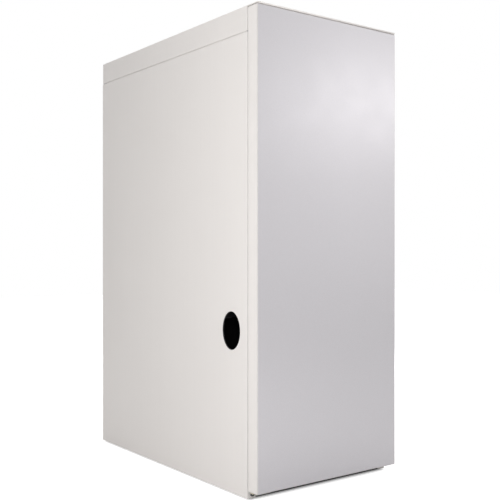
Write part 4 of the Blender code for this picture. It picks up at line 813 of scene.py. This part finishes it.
def add_seals():
    """Seals under the lid: behind and in its side seams, and a lip over the door's front and sides."""
    low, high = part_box("top_cover")
    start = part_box("front_top_rail")[1].y + SEAL_END
    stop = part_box("rear_panel")[0].y - SEAL_END
    shape = bmesh.new()
    for side in (-1, 1):
        outer = side * (INNER_SIDE - SEAL_CLEAR)
        inner = side * (INNER_SIDE - SEAL_THICKNESS)
        foot = PANEL_TOP - SEAL_FOOT
        wedge = [(outer, foot), (outer, low.z + SEAL_HEIGHT), (inner, low.z + SEAL_THICKNESS), (inner, foot)]
        prism(shape, wedge, (start, stop), "Y")
    under = high.z - LID_SHEET
    drop = (under, under - LIP_DROP)
    front, back = low.y + LIP_FRONT, low.y + LIP_DEPTH
    lip = [(front, drop[0]), (front + LIP_LEAN, drop[1]), (back, drop[1]), (back, drop[0])]
    prism(shape, lip, (low.x + LIP_END, high.x - LIP_END), "X")
    for side in (-1, 1):
        across = (side * (high.x - SEAL_EDGE), side * (INNER_SIDE + SEAL_CLEAR))
        prism(shape, oblong(across, drop), (front, FLANGE_FACE - LIP_STOP), "Y")
        filler = oblong(across, (PANEL_TOP + SEAL_EDGE, low.z - SEAL_EDGE))
        prism(shape, filler, (FLANGE_FACE + FILLER_START, start), "Y")
    piece("top_cover_seals", shape, "casing_white")


def add_oval_edging():
    """A black edging pressed into the oval hole, with a collar behind the sheet."""
    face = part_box("left_side_panel")[0].x
    rings = []
    for x, y, _ in circle(1, 0, OVAL_STEPS):
        rings.append([(
            face + depth * MM,
            OVAL_AT[0] + (OVAL_HALF[0] + grown * MM) * x,
            OVAL_AT[1] + (OVAL_HALF[1] + grown * MM) * y,
        ) for grown, depth in OVAL_EDGING])
    shape = bmesh.new()
    loft(shape, rings, closed=True)
    piece("gas_entry_edging", shape, "black_plastic")


def add_hinge_pin_head():
    """The dark riveted head of the lower hinge pin, under its plate."""
    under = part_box("lower_hinge_plate")[0].z + HINGE_FLANGE - PLATE_SHEET
    shape = bmesh.new()
    turned(shape, PIN_HEAD, placed((*HINGE_AXIS, under - PIN_HEAD_SINK), DOWNWARDS), SMALL_ROUND)
    piece("lower_hinge_pin_head", shape, "frame_black")


def add_bolt_spring():
    """The spring that pushes the hinge bolt up: it stands on the guide's lower leg, under the peg."""
    low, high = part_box("hinge_bolt")
    foot = low.z + PEG_UNDER - SPRING_HEIGHT
    anchor = (low.x + BOLT_COLLAR_RADIUS, (low.y + high.y) / 2, foot)
    points = []
    for step in range(SPRING_STEPS + 1):
        share = step / SPRING_STEPS
        turn = 2 * math.pi * SPRING_TURNS * share
        height = SPRING_WIRE + (SPRING_HEIGHT - 2 * SPRING_WIRE) * share
        reach = Vector((math.cos(turn), math.sin(turn), 0)) * SPRING_RADIUS
        points.append(Vector(anchor) + reach + Vector((0, 0, height)))
    shape = bmesh.new()
    loft(shape, along(points, [(x, y) for x, y, _ in circle(SPRING_WIRE, 0, WIRE_STEPS)]))
    spring = piece("hinge_bolt_spring", shape, "bright_steel", "door")
    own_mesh(spring)


# The thermometer's dial and the panel's print
DIAL = ((3.8, 0), (24.4, 0), (24.4, 0.4), (3.8, 0.4))
DIAL_SHEET = 0.4 * MM
DIAL_PRINT = (DIAL_SHEET, DIAL_SHEET + PRINT)
DIAL_STEPS = 64
CASE_FLOOR_FROM_BACK = 26.3 * MM
DIAL_START = 225
DIAL_SWEEP = 270
DIAL_TICKS = 24
TICKS_PER_NUMBER = 4
DIAL_TOP_VALUE = 120
TICK_OUTER = 22.8 * MM
TICK_INNER = 19.4 * MM
TICK_INNER_SHORT = 21.0 * MM
TICK_WIDTH = 0.9 * MM
NUMBER_CIRCLE = 15.2 * MM
NUMBER_SIZE = 4.6 * MM
UNIT_AT = (0, -11.4 * MM)
HOT_ARC = (23.1 * MM, 24.2 * MM)
HOT_TURNS = (22.5, -45)
HOT_STEPS = 12
MARK_UP = 22 * MM
SPARK = ((0.5, 3.6), (-1.9, -0.5), (-0.2, -0.5), (-0.9, -3.6), (1.9, 0.7), (0.3, 0.7), (1.6, 3.6))
LOOP = (2.6 * MM, 3.4 * MM)
LOOP_TURNS = (60, 330)
LOOP_STEPS = 16
LOOP_HEAD = 2.6 * MM


def letters(shape, text, spot, place):
    """Plain figures as a flat raised print, centred on their spot of the dial."""
    curve = bpy.data.curves.new("figures", "FONT")
    curve.body = text
    curve.size = NUMBER_SIZE
    curve.extrude = PRINT / 2
    curve.align_x = "CENTER"
    curve.align_y = "CENTER"
    curve.resolution_u = 4
    obj = added("figures", curve)
    mesh = bpy.data.meshes.new_from_object(obj.evaluated_get(bpy.context.evaluated_depsgraph_get()))
    bpy.data.objects.remove(obj)
    mesh.transform(place @ Matrix.Translation((*spot, DIAL_SHEET + PRINT / 2)))
    shape.from_mesh(mesh)
    bpy.data.meshes.remove(mesh)


def add_dial():
    """The thermometer's enamelled dial with plain numbers, its ticks and a red arc for too hot."""
    at = middle("thermometer_case")
    at.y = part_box("thermometer_case")[1].y - CASE_FLOOR_FROM_BACK
    place = placed(at, TO_FRONT)
    shape = bmesh.new()
    turned(shape, DIAL, place, DIAL_STEPS, closed=True)
    piece("thermometer_dial", shape, "casing_white")
    shape = bmesh.new()
    for step in range(DIAL_TICKS + 1):
        turn = math.radians(DIAL_START - DIAL_SWEEP * step / DIAL_TICKS)
        ray = Vector((math.cos(turn), math.sin(turn)))
        numbered = step % TICKS_PER_NUMBER == 0
        inner = TICK_INNER if numbered else TICK_INNER_SHORT
        width = TICK_WIDTH if numbered else TICK_WIDTH / 2
        bar(shape, ray * inner, ray * TICK_OUTER, width, DIAL_PRINT, place)
        if numbered:
            letters(shape, str(DIAL_TOP_VALUE * step // DIAL_TICKS), ray * NUMBER_CIRCLE, place)
    letters(shape, "°C", UNIT_AT, place)
    piece("thermometer_numbers", shape, "black_plastic")
    shape = bmesh.new()
    arc_band(shape, HOT_ARC, DIAL_PRINT, HOT_TURNS, HOT_STEPS, place)
    piece("thermometer_hot_arc", shape, "red_plastic")


def over(node):
    """The spot for a mark on the instrument panel above a node."""
    at = middle(node)
    return placed((at.x, PANEL_FACE, at.z + MARK_UP), TO_FRONT)


def add_panel_marks():
    """A plain spark over the igniter's button and a plain loop arrow over the reset's, in white print."""
    shape = bmesh.new()
    prism(shape, [(x * MM, y * MM) for x, y in SPARK], (0, PRINT), "Z", over("piezo_igniter"))
    loop = over("limit_thermostat")
    arc_band(shape, LOOP, (0, PRINT), LOOP_TURNS, LOOP_STEPS, loop)
    head = math.radians(LOOP_TURNS[0])
    ray = Vector((math.cos(head), math.sin(head)))
    side = Vector((math.sin(head), -math.cos(head)))
    tip = ray * sum(LOOP) / 2
    arrow = [tip - ray * LOOP_HEAD / 2, tip + ray * LOOP_HEAD / 2, tip + side * LOOP_HEAD]
    prism(shape, arrow, (0, PRINT), "Z", loop)
    piece("instrument_panel_marks", shape, "casing_white")


# The gas valve's trim
KNOB_GAP = 0.3 * MM
KNOB_RING_BACK = 7.3 * MM
KNOB_RING = ((19.9, 0), (20.4, 0), (20.4, 1.2), (19.9, 1.2))
BUTTON_COLLAR = ((8.5, 0), (11, 0), (10.6, 1.6), (8.5, 1.6))
MARK_CIRCLE = 22 * MM
MARK_WIDTH = 0.9 * MM
KNOB_MARKS = ((90, 3.4), (45, 2.2), (0, 3.4), (-45, 2.2), (-90, 2.2), (-135, 2.2), (180, 3.4))
POINTER = ((0, 2 * MM), (0, 15.4 * MM))
POINTER_WIDTH = 1.6 * MM
VALVE_SCREW_INSET = 7.5 * MM
VALVE_SCREW_RISE = 27.5 * MM
CAP = ((10.5, 0), (10.5, 5), (9.6, 6))
CAP_UP = 12 * MM
CAP_BAR = ((-7 * MM, 0), (7 * MM, 0))
CAP_BAR_WIDTH = 1.6 * MM
CAP_BAR_SPAN = (5.5 * MM, 7 * MM)
NIPPLE = ((4, 0), (4, 2), (3, 2.6), (3, 7), (3.5, 7.4), (3.5, 8.6), (2.6, 10))
NIPPLES_Y = (-12 * MM, 12 * MM)
NIPPLES_DOWN = 15 * MM
VALVE_SPIGOT = 10 * MM
TUBE_NUT_RADIUS = 5.5
TUBE_NUT = 7
TUBE_RADII = {"pilot_burner": 2, "thermocouple": 1.2}
UNION_NUT = ((0, 0), (3.2, 0), (3.2, 12), (0, 12))
UNION_LENGTH = 12 * MM


def add_valve_front():
    """The pilot button's collar, the marks, pointer and ring of the valve's knob, and its screws."""
    front, back = (corner.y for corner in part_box("gas_valve_knob"))
    face = back + KNOB_GAP
    button = middle("pilot_button")
    shape = bmesh.new()
    turned(shape, BUTTON_COLLAR, placed((button.x, face, button.z), TO_FRONT), closed=True)
    piece("pilot_button_collar", shape, "zinc_plate")

    knob = middle("gas_valve_knob")
    centre = placed((knob.x, face, knob.z), TO_FRONT)
    shape = bmesh.new()
    for degrees, length in KNOB_MARKS:
        turn = math.radians(degrees)
        ray = Vector((math.cos(turn), math.sin(turn)))
        bar(shape, ray * MARK_CIRCLE, ray * (MARK_CIRCLE + length * MM), MARK_WIDTH, (0, PRINT), centre)
    piece("gas_valve_marks", shape, "casing_white")

    top = placed((knob.x, front, knob.z), TO_FRONT)
    shape = bmesh.new()
    bar(shape, *POINTER, POINTER_WIDTH, (-PRINT, PRINT), top)
    piece("gas_valve_pointer", shape, "casing_white", "valve_knob")
    shape = bmesh.new()
    turned(shape, KNOB_RING, raised(top, -KNOB_RING_BACK), FINE_ROUND, closed=True)
    piece("gas_valve_knob_ring", shape, "bright_steel", "valve_knob")

    rows = (knob.z - VALVE_SCREW_RISE, knob.z + VALVE_SCREW_RISE)
    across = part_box("gas_valve_body")[1].x - VALVE_SCREW_INSET
    heads("gas_valve_screws", screw, at_sides(across, face, rows), TO_FRONT)


def add_valve_sides():
    """The valve's regulator cap, test nipples and tube nuts, and the union nut of its inlet pipe."""
    low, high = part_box("gas_valve_body")
    depth = middle("gas_valve_body").y
    level = middle("gas_valve_knob").z
    side = placed((high.x, depth, level + CAP_UP), TO_RIGHT)
    shape = bmesh.new()
    turned(shape, CAP, side)
    bar(shape, *CAP_BAR, CAP_BAR_WIDTH, CAP_BAR_SPAN, side)
    piece("gas_valve_regulator_cap", shape, "brass")

    shape = bmesh.new()
    for forward in NIPPLES_Y:
        turned(shape, NIPPLE, placed((high.x, depth + forward, level - NIPPLES_DOWN), TO_RIGHT), SMALL_ROUND)
    piece("gas_valve_test_nipples", shape, "brass")

    shape = bmesh.new()
    for node, radius in TUBE_RADII.items():
        at = (middle(node).x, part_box(node)[0].y + radius * MM, low.z + VALVE_SPIGOT - TUBE_NUT * MM)
        turned(shape, oblong((radius, TUBE_NUT_RADIUS), (0, TUBE_NUT)), placed(at), HEX, closed=True)
    piece("gas_valve_tube_nuts", shape, "brass")

    low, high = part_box("gas_inlet_pipe")
    at = (low.x + UNION_LENGTH, (low.y + high.y) / 2, (low.z + high.z) / 2)
    shape = bmesh.new()
    turned(shape, UNION_NUT, placed(at, TO_LEFT), HEX, closed=True, bore=(high.z - low.z) / 2)
    piece("gas_union_nut", shape, "brass")


# What stands out behind: the water stubs, the drain and the flue collar
THREAD_PITCH = 2.3 * MM
THREAD_DEPTH = 0.75 * MM
THREAD_SINK = 0.4 * MM
THREAD_FLANK = 0.45 * THREAD_PITCH
THREAD_RUNOUT = 4
THREAD_STEPS = 28
THREAD_LENGTH = 25 * MM
THREAD_END = 1.4 * MM
GROMMET = ((0, 0), (6, 0), (6, 1.4), (5, 2.4), (0, 2.4))
COCK_RADIUS = 13 * MM
DRAIN_RADIUS = 9 * MM
DRAIN_GROMMET = ((0, 0), (8, 0), (8, 1.4), (0, 2))
DRAIN_STEPS = 40
BACKNUT = ((0, 2.1), (6, 2.1), (6, 6.6), (0, 6.6))
BARB = ((-0.3, -4.2), (1.3, -3.55), (-0.3, 0))
BARB_LEVELS = (0.6 * MM, 4.8 * MM, 9.0 * MM)
COLLAR_FLANGE = 10 * MM
COLLAR_STEPS = 96
BEAD = ((-1.1, -1.6), (1.1, -0.5), (1.1, 0.5), (-1.1, 1.6))
BEAD_LEVELS = (8 * MM, 14 * MM)
ROSETTE = ((0.3, 0), (12, 0), (11, 1.4), (0.3, 1.8))


def thread(shape, radius, low, high, place):
    """A helical ridge round a pipe, which runs out to nothing at both ends."""
    turns = (high - low) / THREAD_PITCH
    steps = int(turns * THREAD_STEPS)
    root = radius - THREAD_SINK
    rings = []
    for step in range(steps + 1):
        share = step / steps
        turn = Matrix.Rotation(2 * math.pi * turns * share, 4, "Z")
        depth = THREAD_DEPTH * min(1, THREAD_RUNOUT * turns * share, THREAD_RUNOUT * turns * (1 - share))
        level = low + (high - low) * share
        section = ((root, level - THREAD_FLANK), (radius + depth, level), (root, level + THREAD_FLANK))
        rings.append([turn @ Vector((reach, 0, z)) for reach, z in section])
    loft(shape, rings, place)


def add_rear_details():
    """Threads on the water stubs, grommets in the rear panel, the drain's fittings and the flue's beads."""
    threads = bmesh.new()
    grommets = bmesh.new()
    for node in ("flow_pipe", "return_pipe"):
        low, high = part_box(node)
        radius = (high.z - low.z) / 2
        place = placed((middle(node).x, REAR_FACE, middle(node).z), TO_BACK)
        thread(threads, radius, STUB_LENGTH - THREAD_LENGTH, STUB_LENGTH - THREAD_END, place)
        turned(grommets, GROMMET, place, FINE_ROUND, closed=True, bore=radius)
    piece("water_pipe_threads", threads, "boiler_paint")
    at = (middle("drain_cock").x, REAR_FACE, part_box("drain_cock")[0].z + COCK_RADIUS)
    place = placed(at, TO_BACK)
    turned(grommets, DRAIN_GROMMET, place, DRAIN_STEPS, closed=True, bore=DRAIN_RADIUS)
    piece("rear_panel_grommets", grommets, "black_plastic")

    shape = bmesh.new()
    turned(shape, BACKNUT, place, HEX, closed=True, bore=DRAIN_RADIUS)
    for level in BARB_LEVELS:
        turned(shape, BARB, raised(place, STUB_LENGTH - level), SMALL_ROUND, closed=True, bore=DRAIN_RADIUS)
    piece("drain_cock_fittings", shape, "brass")

    low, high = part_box("flue_collar")
    radius = (high.z - low.z) / 2 - COLLAR_FLANGE
    place = placed((0, REAR_FACE, middle("flue_collar").z), TO_BACK)
    shape = bmesh.new()
    for level in BEAD_LEVELS:
        turned(shape, BEAD, raised(place, STUB_LENGTH - level), COLLAR_STEPS, closed=True, bore=radius)
    turned(shape, ROSETTE, place, COLLAR_STEPS, closed=True, bore=radius)
    piece("flue_collar_beads", shape, "galvanised_sheet")


# The insulation mat and its straps
STRAP_SHARES = (0.24, 0.52, 0.80)
STRAP_WIDTH = 12 * MM
STRAP_SHEET = 0.7 * MM
STRAP_GAP = 0.2 * MM
CLASP_X = 0.075
CLASP = ((24, 14, 1, 0), (24, 14, 1, 1.7), (23, 13, 0.5, 2.2))
CRIMPS_X = (-7 * MM, 0, 7 * MM)
CRIMP_REACH = 7.6 * MM
CRIMP_WIDTH = 1.6 * MM
CRIMP_SPAN = (0, 2.8 * MM)
MAT_GRID = 11 * MM
MAT_STEPS = 128
MAT_SWELL = 6 * MM
MAT_PINCH = 2.5 * MM
MAT_CORNER = 22 * MM
MAT_THICKNESS = 22 * MM
MAT_CLEAR = 0.2 * MM
MAT_INNER_CORNER = 1 * MM
CORNER_STEPS = 8
MAT_SHARP = math.radians(60)
MAT_FRAMES = 16
CLOTH = {
    "quality": 5, "mass": 0.2, "tension_stiffness": 12, "compression_stiffness": 12,
    "bending_stiffness": 0.4, "vertex_group_mass": "held", "use_pressure": True,
    "uniform_pressure_force": 5, "shrink_min": -0.05,
}
POCKET_RISE = 0.100
POCKET_HOLE = 8
WATER_HOLE = 23
DRAIN_HOLE = 11
HOLE_REACH = 23
HOLE_STEPS = 40


def band(half_x, half_y, radius, centre_y, level):
    """Evenly spaced points round a rectangle with round corners."""
    outline = [Vector((x, y, 0)) for x, y, _ in rounded(2 * half_x, 2 * half_y, radius, 0, CORNER_STEPS)]
    lengths = [(outline[index] - outline[index - 1]).length for index in range(len(outline))]
    total = sum(lengths)
    points = []
    index = 0
    passed = 0.0
    for number in range(MAT_STEPS):
        target = total * number / MAT_STEPS
        while passed + lengths[index] < target:
            passed += lengths[index]
            index += 1
        spot = outline[index - 1].lerp(outline[index], (target - passed) / lengths[index])
        points.append(Vector((spot.x, spot.y + centre_y, level)))
    return points


def mat_rows(low, high, straps):
    """Heights of the mat's rings, with two at each strap's edges."""
    edges = [low]
    for strap in straps:
        edges += [strap - STRAP_WIDTH / 2, strap + STRAP_WIDTH / 2]
    edges.append(high)
    rows = []
    for start, stop in zip(edges[::2], edges[1::2]):
        steps = max(2, round((stop - start) / MAT_GRID))
        rows += [start + (stop - start) * step / steps for step in range(steps + 1)]
    return rows


def swollen(rings, held):
    """The mat's outer skin after the wool has pushed it out between its held rings, by cloth simulation."""
    shape = bmesh.new()
    skin(shape, [corners(shape, ring) for ring in rings])
    mesh = mesh_of("mat_skin", shape)
    cover = added("mat_skin", mesh)
    pins = cover.vertex_groups.new(name="held")
    pins.add([row * MAT_STEPS + step for row in held for step in range(MAT_STEPS)], 1.0, "REPLACE")
    cloth = cover.modifiers.new("Cloth", "CLOTH")
    for key, value in CLOTH.items():
        setattr(cloth.settings, key, value)
    cloth.settings.effector_weights.gravity = 0
    scene = bpy.context.scene
    for number in range(1, MAT_FRAMES + 1):
        scene.frame_set(number)
    settled = cover.evaluated_get(bpy.context.evaluated_depsgraph_get())
    places = [cover.matrix_world @ vertex.co for vertex in settled.data.vertices]
    scene.frame_set(1)
    bpy.data.objects.remove(cover)
    bpy.data.meshes.remove(mesh)
    return [places[row * MAT_STEPS:(row + 1) * MAT_STEPS] for row in range(len(rings))]


def capped(start, end, low, high):
    """The moved point, at most the swell's length from its start and inside the mat's space."""
    move = end - start
    if move.length > MAT_SWELL:
        move = move.normalized() * MAT_SWELL
    spot = start + move
    return Vector(max(low[axis] + MAT_CLEAR, min(high[axis] - MAT_CLEAR, spot[axis])) for axis in range(3))


def add_mat():
    """The foil-faced mat round the boiler, swollen between its straps, with bare wool at its ends."""
    low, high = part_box("insulation_mat")
    straps = [low.z + (high.z - low.z) * share for share in STRAP_SHARES]
    rows = mat_rows(low.z, high.z, straps)
    centre_y = (low.y + high.y) / 2
    half = Vector((high.x, (high.y - low.y) / 2))
    strapped = [min(abs(level - strap) for strap in straps) < STRAP_WIDTH for level in rows]
    rings = []
    for level, tight in zip(rows, strapped):
        drawn_in = MAT_SWELL + MAT_PINCH if tight else MAT_SWELL
        rings.append(band(half.x - drawn_in, half.y - drawn_in, MAT_CORNER, centre_y, level))
    ends = len(rows) - 1
    held = [row for row, tight in enumerate(strapped) if tight or row in (0, ends)]
    moved = swollen(rings, held)
    outer = [[capped(start, end, low, high) for start, end in zip(*pair)] for pair in zip(rings, moved)]
    inner_half = half - Vector((MAT_THICKNESS, MAT_THICKNESS))
    inner = [band(*inner_half, MAT_INNER_CORNER, centre_y, level) for level in (rows[-1], rows[0])]
    shape = bmesh.new()
    loft(shape, outer + inner, closed=True)
    mat = piece("insulation_blanket", shape, "foil_faced_mat")
    mat.data.materials.append(mineral_wool())
    for index, face in enumerate(mat.data.polygons):
        face.material_index = 0 if index // MAT_STEPS < ends else 1
    rounder = mat.modifiers.new("Rounder", "SUBSURF")
    rounder.levels = 1
    rounder.render_levels = 1
    pierce(mat)
    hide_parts("insulation_mat")
    add_straps(straps, half, centre_y)


def pierce(mat):
    """Holes in the mat for the sensor pocket, the water pipes and the drain."""
    low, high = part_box("insulation_mat")
    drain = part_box("drain_cock")
    holes = [((0, low.y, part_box("firebox")[1].z + POCKET_RISE), POCKET_HOLE)]
    for node in ("flow_pipe", "return_pipe"):
        holes.append(((middle(node).x, high.y, middle(node).z), WATER_HOLE))
    holes.append((((drain[0].x + drain[1].x) / 2, high.y, drain[0].z + COCK_RADIUS), DRAIN_HOLE))
    shape = bmesh.new()
    for at, radius in holes:
        turned(shape, ((radius, -HOLE_REACH), (radius, HOLE_REACH)), placed(at, TO_BACK), HOLE_STEPS)
    mesh = mesh_of("mat_holes", shape)
    for material in mat.data.materials:
        mesh.materials.append(material)
    for face in mesh.polygons:
        face.material_index = 1
    cutter = added("mat_holes", mesh)
    cutting = mat.modifiers.new("Holes", "BOOLEAN")
    cutting.operation = "DIFFERENCE"
    cutting.object = cutter
    bpy.context.view_layer.update()
    finished = bpy.data.meshes.new_from_object(mat.evaluated_get(bpy.context.evaluated_depsgraph_get()))
    mat.modifiers.clear()
    mat.data = finished
    mat.data.shade_smooth()
    mat.data.set_sharp_from_angle(angle=MAT_SHARP)
    bpy.data.objects.remove(cutter)


def add_straps(straps, half, centre_y):
    """Flat black straps round the mat, each drawn tight and closed by a crimped clasp at the front."""
    drawn_in = MAT_SWELL + MAT_PINCH - STRAP_SHEET / 2 - STRAP_GAP
    thick = STRAP_SHEET / 2
    wide = STRAP_WIDTH / 2
    shape = bmesh.new()
    for strap in straps:
        path = band(half.x - drawn_in, half.y - drawn_in, MAT_CORNER, centre_y, strap)
        loft(shape, along(path, oblong((-thick, thick), (-wide, wide)), closed=True), closed=True)
        front = placed((CLASP_X, centre_y - half.y + drawn_in, strap), TO_FRONT)
        loft(shape, [rounded(*(value * MM for value in ring)) for ring in CLASP], front)
        for x in CRIMPS_X:
            bar(shape, (x, -CRIMP_REACH), (x, CRIMP_REACH), CRIMP_WIDTH, CRIMP_SPAN, front)
    piece("mat_straps", shape, "frame_black")


# Studio
CAMERA_PLACE = (-0.9892, -1.3862, 0.425)
CAMERA_LOOKS = (0.5995, 0.8004, 0)
LENS = 57.85
SENSOR = 36
LIFT = 0.0056
SKY = 0.335
FLOOR_SIDE = 12
FLOOR_WHITE = (0.82, 0.82, 0.82)
FLOOR_GLOW = 0.78
FLOOR_GLOW_MIRRORED = (0.13, 0.33)
GLOW_REACH = 0.7
SHADE_EDGE = 0.012
SHADE_LEVEL = 0.22
SHADE_IN_FRONT = 0.008
SHADE_BESIDE = 0.007
SQUARE = (0.8, 0.8)


def aim(obj, place, looks):
    obj.location = place
    obj.rotation_euler = Vector(looks).to_track_quat("-Z", "Y").to_euler()


def camera():
    data = bpy.data.cameras.new("photo_view")
    data.lens = LENS
    data.sensor_width = SENSOR
    data.shift_y = LIFT
    obj = added("photo_view", data)
    aim(obj, CAMERA_PLACE, CAMERA_LOOKS)
    bpy.context.scene.camera = obj
    bpy.context.scene.view_settings.view_transform = "Standard"


def seen_level(tree, unseen, mirrored, seen):
    """One value for what is only lit, one for reflections and glass, and one where the camera looks."""
    rays = tree.nodes.new("ShaderNodeLightPath")
    result = None
    for kind, value in (("Glossy", mirrored), ("Transmission", mirrored), ("Camera", seen)):
        mix = tree.nodes.new("ShaderNodeMix")
        mix.inputs["A"].default_value = unseen
        if isinstance(value, bpy.types.NodeSocket):
            tree.links.new(value, mix.inputs["B"])
        else:
            mix.inputs["B"].default_value = value
        tree.links.new(rays.outputs[f"Is {kind} Ray"], mix.inputs["Factor"])
        if result:
            tree.links.new(result, mix.inputs["A"])
        result = mix.outputs["Result"]
    return result


def white_room():
    """White to the camera and in reflections, and a plain dimmer sky to everything it lights."""
    world = bpy.data.worlds.new("white_room")
    world.use_nodes = True
    bpy.context.scene.world = world
    background = world.node_tree.nodes["Background"]
    background.inputs["Color"].default_value = (1, 1, 1, 1)
    world.node_tree.links.new(seen_level(world.node_tree, SKY, 1, 1), background.inputs["Strength"])


def from_casing(finish):
    """Distance on the floor from the foot of the casing, less than nothing under it."""
    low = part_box("base_rail_left")[0] - Vector((0, SHADE_IN_FRONT, 0))
    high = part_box("base_rail_right")[1] + Vector((SHADE_BESIDE, 0, 0))
    beyond = []
    for index, letter in enumerate("XY"):
        off_centre = finish.maths("SUBTRACT", finish.axis(letter), (low[index] + high[index]) / 2)
        distance = finish.maths("ABSOLUTE", off_centre, 0)
        beyond.append(finish.maths("SUBTRACT", distance, (high[index] - low[index]) / 2))
    return finish.maths("MAXIMUM", *beyond)


def floor():
    """A white floor that keeps the shadow and glows faintly to what looks at it; its glow is cut under the
    casing as a painted shadow, and in reflections dimmed near it as painted shade.
    """
    shape = bmesh.new()
    bmesh.ops.create_grid(shape, size=FLOOR_SIDE / 2)
    mesh = bpy.data.meshes.new("studio_floor")
    shape.to_mesh(mesh)
    shape.free()
    obj = added("studio_floor", mesh)
    finish = Finish("studio_floor", FLOOR_WHITE, 0.9)
    away = from_casing(finish)
    # Painted shade: in reflections the floor's glow is dimmer near the casing.
    mirrored = finish.ranged(away, *FLOOR_GLOW_MIRRORED, 0, GLOW_REACH)
    glow = seen_level(finish.tree, 0, mirrored, FLOOR_GLOW)
    # Painted shadow: all the floor's glow is cut to a low level under the casing.
    shade = finish.ranged(away, SHADE_LEVEL, 1, -SHADE_EDGE, 0)
    finish.feed(finish.maths("MULTIPLY", glow, shade), finish.inputs["Emission Strength"])
    finish.feed((1, 1, 1), finish.inputs["Emission Color"])
    mesh.materials.append(finish.material)


def softbox(name, place, target, size, power, mirrored=True):
    """An area lamp aimed at its target, which metal and gloss mirror or not."""
    data = bpy.data.lights.new(name, "AREA")
    data.shape = "RECTANGLE"
    data.size, data.size_y = size
    data.energy = power
    obj = added(name, data)
    aim(obj, place, Vector(target) - Vector(place))
    obj.visible_glossy = mirrored


def lights():
    """A softbox for the left side, one that the door mirrors as a band, and three fills."""
    softbox("side_light", (-1.1, -1.3, 0.65), (-0.17, -0.2, 0.40), SQUARE, 17.7, mirrored=False)
    softbox("door_light", (1.75, -1.85, 1.13), (0.1, -0.3, 0.65), (0.9, 0.25), 1.0)
    softbox("right_fill", (1.5, 1.0, 0.9), (0.17, 0.05, 0.45), SQUARE, 8.5, mirrored=False)
    softbox("rear_fill", (0.3, 1.8, 1.0), (0, 0.27, 0.45), SQUARE, 7, mirrored=False)
    softbox("top_fill", (0, 0, 2.1), (0, 0, 0.85), (0.3, 0.5), 5)


random.seed(7)
FINISH_OF = dress_nodes()
smooth_nodes()
add_fasteners()
add_seam_tabs()
add_seals()
add_oval_edging()
add_hinge_pin_head()
add_bolt_spring()
add_dial()
add_panel_marks()
add_valve_front()
add_valve_sides()
add_rear_details()
add_mat()
camera()
white_room()
floor()
lights()
